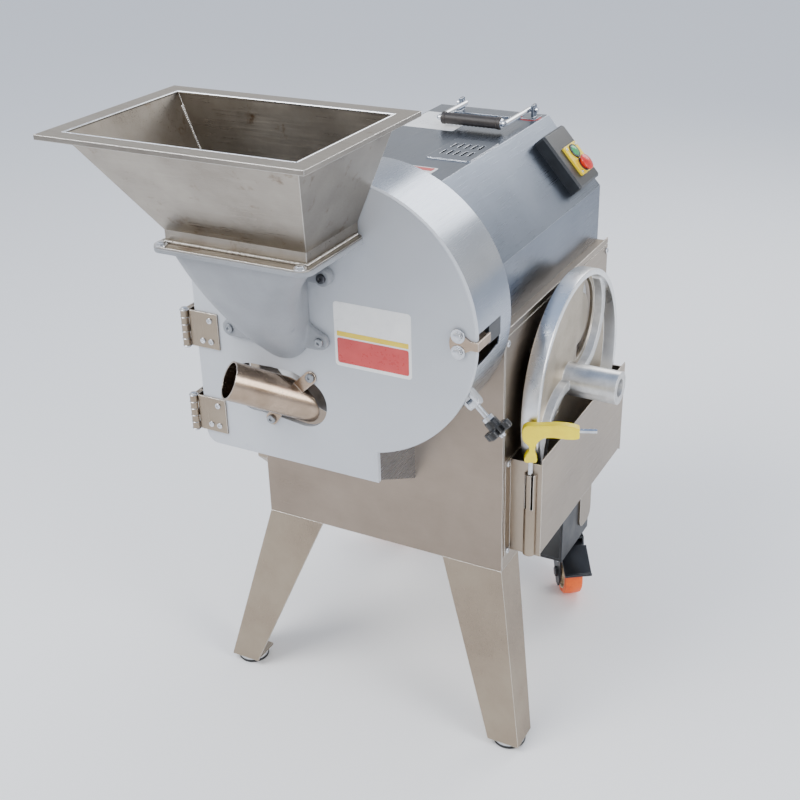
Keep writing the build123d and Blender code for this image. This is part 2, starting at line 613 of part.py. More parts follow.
# Safety switch set in the notch of the chamber wall, its plunger under the door's catch
SWITCH_BODY = (13.0, 36.0, 26.0)
PLUNGER_RADIUS = 4.0
INTERLOCK_X = CHAMBER_CENTRE[0] + CHAMBER_RADIUS - CHAMBER_INSET - SWITCH_BODY[0] / 2
INTERLOCK_Z = NOTCH_Z[1] - SWITCH_BODY[2] / 2
CATCH_FOOT_Y = -(NOTCH_BACK + SWITCH_BODY[1] + 8)
with BuildPart() as interlock_switch:
    with BuildSketch(Plane.XZ.offset(NOTCH_BACK)):
        with Locations((INTERLOCK_X, INTERLOCK_Z)):
            RectangleRounded(SWITCH_BODY[0], SWITCH_BODY[2], 1)
    extrude(amount=SWITCH_BODY[1])
    with BuildSketch(Plane.XZ.offset(NOTCH_BACK + SWITCH_BODY[1])):
        with Locations((INTERLOCK_X, INTERLOCK_Z)):
            Circle(PLUNGER_RADIUS)
    extrude(amount=8 - CLEAR)
keep(interlock_switch.part, "interlock_switch")


def tube_plane(distance):
    """Plane across the feed tube, a distance outward from where its axis meets the door."""
    turn, drop = radians(TUBE_TURN), radians(TUBE_DROP)
    inward = Vector(cos(turn) * cos(drop), sin(turn) * cos(drop), -sin(drop))
    start = Vector(TUBE_CROSSING[0], -DOOR_FACE, TUBE_CROSSING[1])
    return Plane(origin=start - inward * distance, x_dir=(0, 0, 1), z_dir=inward)


# Door plate with the chute mouth, the slot for the feed tube and a small edge round
MOUTH_MIDDLE = (sum(CHUTE_MOUTH_X) / 2, sum(CHUTE_MOUTH_Z) / 2)
MOUTH_SIZE = (CHUTE_MOUTH_X[1] - CHUTE_MOUTH_X[0], CHUTE_MOUTH_Z[1] - CHUTE_MOUTH_Z[0])
with BuildPart() as door_plate:
    with BuildSketch(Plane.XZ.offset(DOOR_BACK)):
        add(door_face().sketch)
        with Locations(MOUTH_MIDDLE):
            SlotOverall(MOUTH_SIZE[1] - 2 * CHUTE_WALL, MOUTH_SIZE[0] - 2 * CHUTE_WALL,
                        rotation=90, mode=Mode.SUBTRACT)
        with Locations(TUBE_SLOT_MIDDLE):
            SlotOverall(TUBE_SLOT_LENGTH, TUBE_SLOT_HEIGHT, mode=Mode.SUBTRACT)
        with Locations(TUBE_CROSSING):
            SlotOverall(TUBE_PASSAGE_LENGTH, TUBE_SLOT_HEIGHT, rotation=TUBE_PASSAGE_TURN,
                        mode=Mode.SUBTRACT)
    extrude(amount=DOOR_THICKNESS)
    face_edges = door_plate.faces().sort_by(Axis.Y)[0].outer_wire().edges()
    fillet(face_edges, DOOR_EDGE_ROUND)
keep(door_plate.part, "door_plate")

# Cast chute: flange plate, curved funnel that turns down into the door, lugs and boss
PLATE_X = (NECK_X[0] - CHUTE_PLATE_MARGIN, NECK_X[1] + CHUTE_PLATE_MARGIN)
PLATE_Y = (NECK_Y[0] - CHUTE_PLATE_FRONT, -DOOR_FACE)
PLATE_UNDERSIDE = CHUTE_TOP - CHUTE_PLATE


def chute_sections(shrink):
    """Rounded sections fanned from the flange plate (level) to the door (upright)."""
    mouth_reach = PLATE_UNDERSIDE - CHUTE_MOUTH_Z[0]
    neck_reach = -DOOR_FACE - NECK_Y[0] + 8
    spans = ((0, NECK_X, neck_reach, CHUTE_CORNER),
             (45, CHUTE_BEND_X, CHUTE_BEND_REACH, CHUTE_BEND_CORNER),
             (90, CHUTE_MOUTH_X, mouth_reach, MOUTH_SIZE[0] / 2 - 0.5))
    sections = []
    for angle, across, reach, corner in spans:
        turn = radians(angle)
        outward = Vector(0, -cos(turn), -sin(turn))
        pivot = Vector(sum(across) / 2, -DOOR_FACE, PLATE_UNDERSIDE)
        middle = pivot + outward * ((CHUTE_NEAR + reach) / 2)
        plane = Plane(origin=middle, x_dir=(1, 0, 0), z_dir=Vector(1, 0, 0).cross(outward))
        with BuildSketch(plane) as section:
            RectangleRounded(across[1] - across[0] - 2 * shrink, reach - CHUTE_NEAR - 2 * shrink,
                             corner - shrink)
        sections.append(section.sketch)
    return sections


with BuildPart() as chute_core:
    loft(chute_sections(CHUTE_WALL))
with BuildPart() as cast_chute:
    loft(chute_sections(0))
    with BuildSketch(Plane.XY.offset(PLATE_UNDERSIDE)):
        with Locations((sum(PLATE_X) / 2, sum(PLATE_Y) / 2)):
            RectangleRounded(PLATE_X[1] - PLATE_X[0], PLATE_Y[1] - PLATE_Y[0],
                             CHUTE_PLATE_CORNER)
    extrude(amount=CHUTE_PLATE)
    for x, z, root in CHUTE_LUGS:
        with BuildSketch(Plane.XZ.offset(DOOR_FACE)):
            with BuildLine():
                side = 1 if root > x else -1
                tip = ThreePointArc((x, z + CHUTE_LUG_RADIUS), (x - side * CHUTE_LUG_RADIUS, z),
                                    (x, z - CHUTE_LUG_RADIUS))
                Polyline((x, z - CHUTE_LUG_RADIUS), (root, z - CHUTE_LUG_RADIUS),
                         (root, z + 2.6 * CHUTE_LUG_RADIUS), (x, z + CHUTE_LUG_RADIUS))
            make_face()
        extrude(amount=CHUTE_LUG_THICKNESS)
    with BuildSketch(Plane.XZ.offset(DOOR_FACE)):
        with Locations(CHUTE_BOSS[:2]):
            Circle(CHUTE_LUG_RADIUS)
        with Locations(((CHUTE_BOSS[0] + CHUTE_BOSS[2]) / 2, CHUTE_BOSS[1])):
            Rectangle(CHUTE_BOSS[0] - CHUTE_BOSS[2], 1.4 * CHUTE_LUG_RADIUS)
    extrude(amount=CHUTE_BOSS_HEIGHT)
    add(chute_core.part, mode=Mode.SUBTRACT)
    with BuildSketch(Plane.XY.offset(PLATE_UNDERSIDE - 1)):
        opening_y = (NECK_Y[0] + CHUTE_WALL + 1, NECK_Y[1] - 12)
        with Locations((sum(NECK_X) / 2, sum(opening_y) / 2)):
            RectangleRounded(NECK_X[1] - NECK_X[0] - 2 * CHUTE_WALL, opening_y[1] - opening_y[0], 20)
    extrude(amount=CHUTE_PLATE + 2, mode=Mode.SUBTRACT)
    split(bisect_by=Plane.XZ.offset(DOOR_FACE), keep=Keep.TOP)
keep(cast_chute.part, "cast_chute")

# Socket-head screws through the chute's lugs and boss and the feed tube's ears
SOCKET_HEAD = (6.5, 3.6)
SOCKET_HEX = 2.9
screw_seats = [((x, z), DOOR_FACE + CHUTE_LUG_THICKNESS) for x, z, root in CHUTE_LUGS]
screw_seats += [(CHUTE_BOSS[:2], DOOR_FACE + CHUTE_BOSS_HEIGHT)]
screw_seats += [(ear, DOOR_FACE + TUBE_EAR_THICKNESS) for ear in TUBE_EARS]
with BuildPart() as socket_screws:
    for seat, height in screw_seats:
        with BuildSketch(Plane.XZ.offset(height)):
            with Locations(seat):
                Circle(SOCKET_HEAD[0])
        extrude(amount=SOCKET_HEAD[1])
        with BuildSketch(Plane.XZ.offset(height + SOCKET_HEAD[1])):
            with Locations(seat):
                RegularPolygon(SOCKET_HEX, 6)
        extrude(amount=-SOCKET_HEAD[1] / 2, mode=Mode.SUBTRACT)
keep(socket_screws.part, "socket_screws")

# Round feed tube that slants through the door, with two ears flat on the door
with BuildPart() as feed_tube:
    with BuildSketch(tube_plane(TUBE_OUTSIDE)):
        Circle(TUBE_RADIUS)
    extrude(amount=TUBE_OUTSIDE + TUBE_INSIDE)
    for ear in TUBE_EARS:
        with BuildSketch(Plane.XZ.offset(DOOR_FACE)):
            with BuildLine() as reach:
                Line(ear, TUBE_CROSSING)
            trace(reach.line, 2 * TUBE_EAR_RADIUS)
            with Locations(ear):
                Circle(TUBE_EAR_RADIUS)
        extrude(amount=TUBE_EAR_THICKNESS)
    with BuildSketch(tube_plane(TUBE_OUTSIDE + 1)):
        Circle(TUBE_RADIUS - TUBE_WALL)
    extrude(amount=TUBE_OUTSIDE + TUBE_INSIDE + 2, mode=Mode.SUBTRACT)
    split(bisect_by=Plane.XZ.offset(DOOR_BACK), keep=Keep.TOP)
keep(feed_tube.part, "feed_tube")


# Hopper: four sloped walls folded from sheet, neck, bolted flange and turned rim
with BuildPart() as hopper:
    with BuildSketch(Plane.XY.offset(NECK_HEIGHT)):
        rectangle(NECK_X, NECK_Y, 0)
    with BuildSketch(Plane.XY.offset(RIM_HEIGHT)):
        rectangle(RIM_X, RIM_Y, HOPPER_SHEET)
    loft(ruled=True)
    with BuildSketch(Plane.XY.offset(CHUTE_TOP)):
        rectangle(NECK_X, NECK_Y, 0)
    extrude(amount=NECK_HEIGHT - CHUTE_TOP)
    with BuildSketch(Plane.XY.offset(CHUTE_TOP)):
        with Locations((sum(PLATE_X) / 2, (PLATE_Y[0] + NECK_Y[1]) / 2 + 1)):
            RectangleRounded(PLATE_X[1] - PLATE_X[0] - 4, NECK_Y[1] - PLATE_Y[0],
                             CHUTE_PLATE_CORNER - 4)
    extrude(amount=HOPPER_SHEET)
    with BuildSketch(Plane.XY.offset(RIM_HEIGHT - HOPPER_SHEET)):
        rectangle(RIM_X, RIM_Y, RIM_FLANGE)
    extrude(amount=HOPPER_SHEET)
    with BuildSketch(Plane.XY.offset(RIM_HEIGHT - RIM_TURN)):
        rectangle(RIM_X, RIM_Y, RIM_FLANGE)
        rectangle(RIM_X, RIM_Y, RIM_FLANGE - HOPPER_SHEET, mode=Mode.SUBTRACT)
    extrude(amount=RIM_TURN)
    with BuildSketch(Plane.XY.offset(NECK_HEIGHT)):
        rectangle(NECK_X, NECK_Y, -HOPPER_SHEET)
    with BuildSketch(Plane.XY.offset(RIM_HEIGHT)):
        rectangle(RIM_X, RIM_Y, 0)
    loft(ruled=True, mode=Mode.SUBTRACT)
    with BuildSketch(Plane.XY.offset(CHUTE_TOP - 1)):
        rectangle(NECK_X, NECK_Y, -HOPPER_SHEET)
    extrude(amount=NECK_HEIGHT - CHUTE_TOP + 1, mode=Mode.SUBTRACT)
keep(hopper.part, "hopper")

# Hexagon bolts: two on the hopper's flange corners and two on the door catch
CATCH_MIDDLE = INTERLOCK_Z + 2
CATCH_SHEET = 3.0
CATCH_ROOT_X = 180.0
CATCH_HALF = 19.0
CATCH_TONGUE = 6.0
CATCH_END_X = CHAMBER_CENTRE[0] + CHAMBER_RADIUS + CLEAR + CATCH_SHEET + 0.5
CATCH_BOLTS = ((CATCH_ROOT_X + 6, CATCH_MIDDLE + 11), (CATCH_ROOT_X + 6, CATCH_MIDDLE - 11))
FLANGE_BOLTS = [(x, PLATE_Y[0] + 8) for x in (PLATE_X[0] + 14, PLATE_X[1] - 14)]
with BuildPart() as door_bolts:
    with BuildSketch(Plane.XZ.offset(DOOR_FACE + CATCH_SHEET)):
        with Locations(*CATCH_BOLTS):
            RegularPolygon(6.5, 6)
    extrude(amount=5)
    with BuildSketch(Plane.XY.offset(CHUTE_TOP + HOPPER_SHEET)):
        with Locations(*FLANGE_BOLTS):
            RegularPolygon(5.5, 6)
    extrude(amount=4.5)
keep(door_bolts.part, "door_bolts")

# Fan-shaped catch bolted to the door, its tongue turned back through the notch to a foot
with BuildPart() as door_catch:
    with BuildSketch(Plane.XZ.offset(DOOR_FACE)):
        with BuildLine():
            ThreePointArc((CATCH_ROOT_X, CATCH_MIDDLE + CATCH_HALF),
                          (CATCH_ROOT_X - 6, CATCH_MIDDLE),
                          (CATCH_ROOT_X, CATCH_MIDDLE - CATCH_HALF))
            Polyline((CATCH_ROOT_X, CATCH_MIDDLE - CATCH_HALF),
                     (CATCH_END_X - 10, CATCH_MIDDLE - CATCH_TONGUE),
                     (CATCH_END_X, CATCH_MIDDLE - CATCH_TONGUE),
                     (CATCH_END_X, CATCH_MIDDLE + CATCH_TONGUE),
                     (CATCH_END_X - 10, CATCH_MIDDLE + CATCH_TONGUE),
                     (CATCH_ROOT_X, CATCH_MIDDLE + CATCH_HALF))
        make_face()
    extrude(amount=CATCH_SHEET)
    with BuildSketch(Plane.XZ.offset(DOOR_FACE + CATCH_SHEET)):
        with Locations((CATCH_END_X - CATCH_SHEET / 2, CATCH_MIDDLE)):
            Rectangle(CATCH_SHEET, 2 * CATCH_TONGUE)
    extrude(amount=-(DOOR_FACE + CATCH_SHEET + CATCH_FOOT_Y))
    with BuildSketch(Plane.XZ.offset(-CATCH_FOOT_Y)):
        with Locations(((INTERLOCK_X + CATCH_END_X) / 2 - 2, CATCH_MIDDLE)):
            Rectangle(CATCH_END_X - INTERLOCK_X + 4, 2 * CATCH_TONGUE)
    extrude(amount=CATCH_SHEET)
keep(door_catch.part, "door_catch")


def hinge(fixed):
    """Both hinges' leaves of one side: knuckles on the shared pin and a flat leaf."""
    length = HINGE_HEIGHT / HINGE_KNUCKLES
    with BuildPart() as leaves:
        for middle in HINGE_MIDDLES:
            for index in range(HINGE_KNUCKLES):
                if (index % 2 == 0) == fixed:
                    low = middle - HINGE_HEIGHT / 2 + index * length
                    with BuildSketch(Plane.XY.offset(low + CLEAR / 2)):
                        with Locations((HINGE_AXIS_X, HINGE_AXIS_Y)):
                            Circle(HINGE_KNUCKLE_RADIUS)
                        if fixed:
                            with Locations((HINGE_AXIS_X + 1, HINGE_AXIS_Y + 8.5)):
                                Rectangle(8, 17)
                        else:
                            with Locations((HINGE_AXIS_X + 6, HINGE_AXIS_Y + 3.5 - HINGE_LEAF / 2)):
                                Rectangle(12, HINGE_LEAF)
                        with Locations((HINGE_AXIS_X, HINGE_AXIS_Y)):
                            Circle(HINGE_PIN_RADIUS + RUNNING_FIT * (not fixed), mode=Mode.SUBTRACT)
                    extrude(amount=length - CLEAR)
            low = middle - HINGE_HEIGHT / 2
            if fixed:
                with BuildSketch(Plane.XY.offset(low)):
                    block_x = (CHAMBER_LEFT + CHAMBER_INSET - HINGE_BLOCK_WIDTH,
                               CHAMBER_LEFT + CHAMBER_INSET)
                    rectangle(block_x, HINGE_BLOCK_Y, 0)
                    rectangle(block_x, HINGE_BLOCK_Y, -HINGE_LEAF, mode=Mode.SUBTRACT)
                extrude(amount=HINGE_HEIGHT)
            else:
                with BuildSketch(Plane.XY.offset(low)):
                    leaf_x = (HINGE_AXIS_X + HINGE_KNUCKLE_RADIUS + 1, HINGE_AXIS_X + HINGE_LEAF_REACH)
                    with Locations((sum(leaf_x) / 2, -DOOR_FACE - HINGE_LEAF / 2)):
                        Rectangle(leaf_x[1] - leaf_x[0], HINGE_LEAF)
                extrude(amount=HINGE_HEIGHT)
    return leaves.part


keep(hinge(True), "hinge_fixed_leaves")
keep(hinge(False), "hinge_door_leaves")

# Hinge pins pressed into the fixed knuckles
with BuildPart() as hinge_pins:
    for middle in HINGE_MIDDLES:
        with BuildSketch(Plane.XY.offset(middle - HINGE_HEIGHT / 2 - 2)):
            with Locations((HINGE_AXIS_X, HINGE_AXIS_Y)):
                Circle(HINGE_PIN_RADIUS)
        extrude(amount=HINGE_HEIGHT + 4)
keep(hinge_pins.part, "hinge_pins")

# Three screws in each door leaf
with BuildPart() as hinge_screws:
    for middle in HINGE_MIDDLES:
        with BuildSketch(Plane.XZ.offset(DOOR_FACE + HINGE_LEAF)):
            with Locations(*[(HINGE_AXIS_X + x, middle + z) for x, z in HINGE_SCREWS]):
                Circle(HINGE_SCREW_RADIUS)
        extrude(amount=HINGE_SCREW_RISE)
keep(hinge_screws.part, "hinge_screws")


def disc_curve(path, turn):
    """Arc from the hub over the wheel's middle ring to the rim.

    Each point of the path is a distance outward from the hub, the middle ring or the rim,
    and an angle in degrees.
    """
    middle = (DISC_RADIUS + DISC_HUB_RADIUS) / 2
    points = []
    for start, (outward, angle) in zip((DISC_HUB_RADIUS, middle, DISC_RADIUS), path):
        bearing = radians(angle + turn)
        points.append(((start + outward) * cos(bearing), (start + outward) * sin(bearing)))
    with BuildLine(mode=Mode.PRIVATE) as curve:
        ThreePointArc(*points)
    return curve.line


def disc_body(plane):
    """Cast slicing wheel: flat floor, raised rim, hub and two curved arms beside the slots."""
    with BuildPart() as wheel:
        with BuildSketch(plane):
            Circle(DISC_RADIUS)
            Circle(DISC_BORE_RADIUS, mode=Mode.SUBTRACT)
        extrude(amount=DISC_FLOOR)
        with BuildSketch(plane.offset(DISC_FLOOR)):
            Circle(DISC_RADIUS)
            Circle(DISC_RADIUS - DISC_RIM, mode=Mode.SUBTRACT)
        extrude(amount=DISC_DEPTH - DISC_FLOOR)
        with BuildSketch(plane.offset(DISC_FLOOR)):
            for turn in (0, 180):
                trace(disc_curve(ARM_PATH, turn), ARM_WIDTH)
            Circle(DISC_RADIUS - DISC_RIM / 2, mode=Mode.INTERSECT)
        extrude(amount=ARM_HEIGHT - DISC_FLOOR)
        with BuildSketch(plane.offset(DISC_FLOOR)):
            Circle(DISC_HUB_RADIUS)
            Circle(DISC_BORE_RADIUS, mode=Mode.SUBTRACT)
        extrude(amount=DISC_HUB_END - DISC_FLOOR)
        with BuildSketch(plane):
            for turn in (0, 180):
                trace(disc_curve(SLOT_PATH, turn), SLOT_WIDTH)
        extrude(amount=DISC_FLOOR, mode=Mode.SUBTRACT)
        rims = wheel.edges().filter_by(GeomType.CIRCLE).filter_by(
            lambda edge: abs(edge.radius - DISC_RADIUS) < CLEAR)
        chamfer(rims, DISC_EDGE_CHAMFER)
    return wheel.part


def disc_blades(plane):
    """Two curved steel blades on the flat face, each overhanging its slot."""
    with BuildPart() as blades:
        with BuildSketch(plane):
            for turn in (0, 180):
                trace(disc_curve(BLADE_PATH, turn), BLADE_WIDTH)
            Circle(DISC_RADIUS - BLADE_RIM_GAP, mode=Mode.INTERSECT)
        extrude(amount=-BLADE_THICKNESS)
    return blades.part


CUTTER_PLANE = Plane(origin=(CHAMBER_CENTRE[0], DISC_PLATE_Y, CHAMBER_CENTRE[1]),
                     x_dir=(1, 0, 0), z_dir=(0, 1, 0))
SPARE_PLANE = Plane(origin=(SPARE_BACK, SPARE_Y, SPARE_Z), x_dir=(0, 1, 0), z_dir=(1, 0, 0))
keep(disc_body(CUTTER_PLANE), "cutter_disc")
keep(disc_blades(CUTTER_PLANE), "cutter_blades")
keep(disc_body(SPARE_PLANE), "spare_disc")
keep(disc_blades(SPARE_PLANE), "spare_blades")

# Retaining washer and bolt that hold the disc on the shaft's end
with BuildPart() as disc_bolt:
    with BuildSketch(Plane.XZ.offset(-DISC_PLATE_Y)):
        with Locations(CHAMBER_CENTRE):
            Circle(DISC_BORE_RADIUS + 8)
    extrude(amount=3)
    with BuildSketch(Plane.XZ.offset(-DISC_PLATE_Y + 3)):
        with Locations(CHAMBER_CENTRE):
            RegularPolygon(9, 6)
    extrude(amount=7)
keep(disc_bolt.part, "disc_bolt")


def leg_angle(side, height, corner, size):
    """Angle section of a front leg at one height, from its outer front corner."""
    x, y = corner
    across, back = size
    with BuildSketch(Plane.XY.offset(height)) as section:
        with BuildLine():
            Polyline((side * x, y), (side * (x - across), y), (side * (x - across), y + LEG_SHEET),
                     (side * (x - LEG_SHEET), y + LEG_SHEET), (side * (x - LEG_SHEET), y + back),
                     (side * x, y + back), close=True)
        make_face()
    return section.sketch


def front_leg(side):
    """Folded angle leg, tapered and splayed outward and forward, with a foot plate."""
    foot = FRONT_LEG_CORNER
    with BuildPart() as leg:
        loft([leg_angle(side, FOOT_PAD_HEIGHT, foot, FRONT_LEG_FOOT),
              leg_angle(side, CABINET_BOTTOM, (HALF, 0), FRONT_LEG_TOP)], ruled=True)
        with BuildSketch(Plane.XY.offset(FOOT_PAD_HEIGHT)):
            with Locations((side * (foot[0] - FRONT_LEG_FOOT[0] / 2), foot[1] + FRONT_LEG_FOOT[1] / 2)):
                Rectangle(FRONT_LEG_FOOT[0] - 3, FRONT_LEG_FOOT[1] - 3)
        extrude(amount=4)
    return leg.part


keep(front_leg(-1), "front_leg_left")
keep(front_leg(1), "front_leg_right")

# Round pads under the front legs
with BuildPart() as foot_pads:
    with BuildSketch(Plane.XY):
        for side in (-1, 1):
            with Locations((side * (FRONT_LEG_CORNER[0] - FRONT_LEG_FOOT[0] / 2),
                            FRONT_LEG_CORNER[1] + FRONT_LEG_FOOT[1] / 2)):
                Circle(FOOT_PAD_RADIUS)
    extrude(amount=FOOT_PAD_HEIGHT)
    chamfer(foot_pads.edges().group_by(Axis.Z)[0], 1)
keep(foot_pads.part, "foot_pads")


def rear_leg(side):
    """Upright channel under the cabinet's rear corner, lower corners rounded."""
    y0, y1 = REAR_LEG_Y
    with BuildPart() as leg:
        with BuildSketch(Plane.YZ.offset(side * HALF)):
            with Locations(((y0 + y1) / 2, (REAR_LEG_BOTTOM + CABINET_BOTTOM) / 2)):
                Rectangle(y1 - y0, CABINET_BOTTOM - REAR_LEG_BOTTOM)
        extrude(amount=-side * LEG_SHEET)
        corners = leg.edges().filter_by(Axis.X).group_by(Axis.Z)[0]
        fillet(corners, 18)
        with BuildSketch(Plane.XZ.offset(-y1)):
            with Locations((side * (HALF - REAR_LEG_FLANGE / 2),
                            (REAR_LEG_BOTTOM + 20 + CABINET_BOTTOM) / 2)):
                Rectangle(REAR_LEG_FLANGE, CABINET_BOTTOM - REAR_LEG_BOTTOM - 20)
        extrude(amount=LEG_SHEET)
    return leg.part


keep(rear_leg(-1), "rear_leg_left")
keep(rear_leg(1), "rear_leg_right")

# Black mounting brackets: a plate over each castor, turned up against the rear leg
with BuildPart() as castor_mounts:
    for side in (-1, 1):
        inner_face = side * (HALF - LEG_SHEET)
        with BuildSketch(Plane.XY.offset(CASTOR_HEIGHT)):
            rectangle(sorted((inner_face, inner_face - side * MOUNT_WIDTH)), MOUNT_Y, 0)
        extrude(amount=MOUNT_SHEET)
        with BuildSketch(Plane.YZ.offset(inner_face)):
            rectangle(MOUNT_Y, (CASTOR_HEIGHT, CABINET_BOTTOM), 0)
        extrude(amount=-side * MOUNT_SHEET)
keep(castor_mounts.part, "castor_mounts")


def castor_place(side):
    """Where a castor stands: its own frame has the swivel at x = y = 0 and trails along +Y."""
    return Location((side * CASTOR_X, CASTOR_Y, 0), (0, 0, CASTOR_REST[side]))


def castor_fork(side):
    """Swivel head, two long cheeks over the wheel, a skirt between them and the axle bolt."""
    inner = WHEEL_WIDTH / 2 + FORK_GAP
    outer = inner + FORK_SHEET
    top = CASTOR_HEIGHT - FORK_HEAD_HEIGHT
    front = CHEEK_OUTLINE[0][0]
    with BuildPart() as fork:
        with BuildSketch(Plane.YZ.offset(-outer)):
            with BuildLine():
                Polyline([(y, top + z) for y, z in CHEEK_OUTLINE], close=True)
            outline = make_face()
            fillet(outline.vertices().group_by(Axis.Y)[0], CHEEK_CORNER)
        extrude(amount=2 * outer)
        with BuildSketch(Plane.YZ.offset(-inner)):
            rectangle((front + FORK_SHEET, 2 * WHEEL_RADIUS), (0, top - FORK_SHEET), 0)
            rectangle((front - 1, front + FORK_SHEET), (0, top - FORK_SKIRT), 0)
        extrude(amount=2 * inner, mode=Mode.SUBTRACT)
        with BuildSketch(Plane.XY.offset(top)):
            Circle(FORK_HEAD_RADIUS)
        extrude(amount=FORK_HEAD_HEIGHT - CLEAR)
        with BuildSketch(Plane.YZ.offset(-outer)):
            with Locations(BRAKE_PIVOT):
                Circle(BRAKE_PIN_RADIUS + RUNNING_FIT)
        extrude(amount=2 * outer, mode=Mode.SUBTRACT)
        with BuildSketch(Plane.YZ.offset(-outer - AXLE_NUT[1])):
            with Locations((CASTOR_TRAIL, WHEEL_RADIUS)):
                Circle(AXLE_RADIUS - RUNNING_FIT)
        extrude(amount=2 * (outer + AXLE_NUT[1]))
        for face in (-outer - AXLE_NUT[1], outer):
            with BuildSketch(Plane.YZ.offset(face)):
                with Locations((CASTOR_TRAIL, WHEEL_RADIUS)):
                    RegularPolygon(AXLE_NUT[0], 6)
            extrude(amount=AXLE_NUT[1])
    return fork.part.moved(castor_place(side))


def castor_wheel(side):
    """Moulded wheel: rounded tread on a webbed hub."""
    half = WHEEL_WIDTH / 2
    shoulder = WHEEL_RADIUS - 4
    web = half - 5
    inner, outer, rim = WHEEL_WEB
    with BuildPart() as wheel:
        with BuildSketch(Plane.XY):
            with BuildLine():
                Polyline((-half, AXLE_RADIUS), (-half, 2 * AXLE_RADIUS), (-web, inner), (-web, outer),
                         (-half, rim), (-half, shoulder))
                ThreePointArc((-half, shoulder), (0, WHEEL_RADIUS), (half, shoulder))
                Polyline((half, shoulder), (half, rim), (web, outer), (web, inner),
                         (half, 2 * AXLE_RADIUS), (half, AXLE_RADIUS), (-half, AXLE_RADIUS))
            make_face()
        revolve(axis=Axis.X)
    centred = wheel.part.moved(Location((0, CASTOR_TRAIL, WHEEL_RADIUS)))
    return centred.moved(castor_place(side))


def castor_brake(side):
    """Brake pedal: a shoe over the tread on a pin through the cheeks, and a wide sloping plate."""
    half = WHEEL_WIDTH / 2 + FORK_GAP - CLEAR
    outer = WHEEL_WIDTH / 2 + FORK_GAP + FORK_SHEET
    y, z = BRAKE_PIVOT
    shoe_front, shoe_back, shoe_bottom = BRAKE_SHOE
    start_y, start_z = PEDAL_START
    end_y, end_z = PEDAL_END
    with BuildPart() as brake:
        with BuildSketch(Plane.YZ.offset(-half)):
            with BuildLine():
                Polyline((y - 7, z - 6), (y - 7, z + 7), (start_y, start_z),
                         (start_y + PEDAL_THICKNESS, start_z - 2 * PEDAL_THICKNESS),
                         (shoe_back, shoe_bottom), (shoe_front, shoe_bottom), close=True)
            make_face()
        extrude(amount=2 * half)
        with BuildSketch(Plane.YZ.offset(-PEDAL_WIDTH / 2)):
            with BuildLine():
                Polyline((start_y, start_z - PEDAL_THICKNESS), (start_y, start_z), (end_y, end_z),
                         (end_y + PEDAL_LIP, end_z), (end_y + PEDAL_LIP, end_z - PEDAL_THICKNESS),
                         (end_y, end_z - PEDAL_THICKNESS), close=True)
            make_face()
        extrude(amount=PEDAL_WIDTH)
        with BuildSketch(Plane.YZ.offset(-outer)):
            with Locations(BRAKE_PIVOT):
                Circle(BRAKE_PIN_RADIUS)
        extrude(amount=2 * outer)
    return brake.part.moved(castor_place(side))


for side, name in ((-1, "left"), (1, "right")):
    keep(castor_fork(side), f"castor_fork_{name}")
    keep(castor_wheel(side), f"castor_wheel_{name}")
    keep(castor_brake(side), f"castor_brake_{name}")

# Rack: outer wall, front and back walls, floor and a shelf under the spare disc
with BuildPart() as disc_rack:
    middle = ((RACK_Y[0] + RACK_Y[1]) / 2, (RACK_Z[0] + RACK_Z[1]) / 2)
    with BuildSketch(Plane.YZ.offset(RACK_FACE - SHEET)):
        with Locations(middle):
            Rectangle(RACK_Y[1] - RACK_Y[0], RACK_Z[1] - RACK_Z[0])
    extrude(amount=SHEET)
    for y in (RACK_Y[0], RACK_Y[1] - SHEET):
        with BuildSketch(Plane.XZ.offset(-y)):
            with Locations(((HALF + RACK_FACE) / 2, sum(RACK_FRONT_Z) / 2)):
                Rectangle(RACK_FACE - HALF, RACK_FRONT_Z[1] - RACK_FRONT_Z[0])
        extrude(amount=-SHEET)
    with BuildSketch(Plane.XY.offset(RACK_Z[0])):
        with Locations(((HALF + RACK_FACE) / 2, middle[0])):
            Rectangle(RACK_FACE - HALF, RACK_Y[1] - RACK_Y[0])
    extrude(amount=SHEET)
    with BuildSketch(Plane.YZ.offset(HALF)):
        with Locations((RACK_Y[0] - RACK_STRIP / 2 + SHEET / 2, sum(RACK_FRONT_Z) / 2)):
            Rectangle(RACK_STRIP + SHEET, RACK_FRONT_Z[1] - RACK_FRONT_Z[0] + 8)
        with BuildLine():
            Polyline((RACK_Y[0], RACK_FRONT_Z[1]), (RACK_Y[0] + RACK_GUSSET[0], RACK_FRONT_Z[1]),
                     (RACK_Y[0], RACK_FRONT_Z[1] - RACK_GUSSET[1]), close=True)
        make_face()
    extrude(amount=SHEET)
    with BuildSketch(Plane.XY.offset(SPARE_Z - DISC_RADIUS - CLEAR - SHEET)):
        with Locations(((HALF + RACK_FACE) / 2, SPARE_Y)):
            Rectangle(RACK_FACE - HALF, RACK_SHELF_WIDTH)
    extrude(amount=SHEET)
keep(disc_rack.part, "disc_rack")

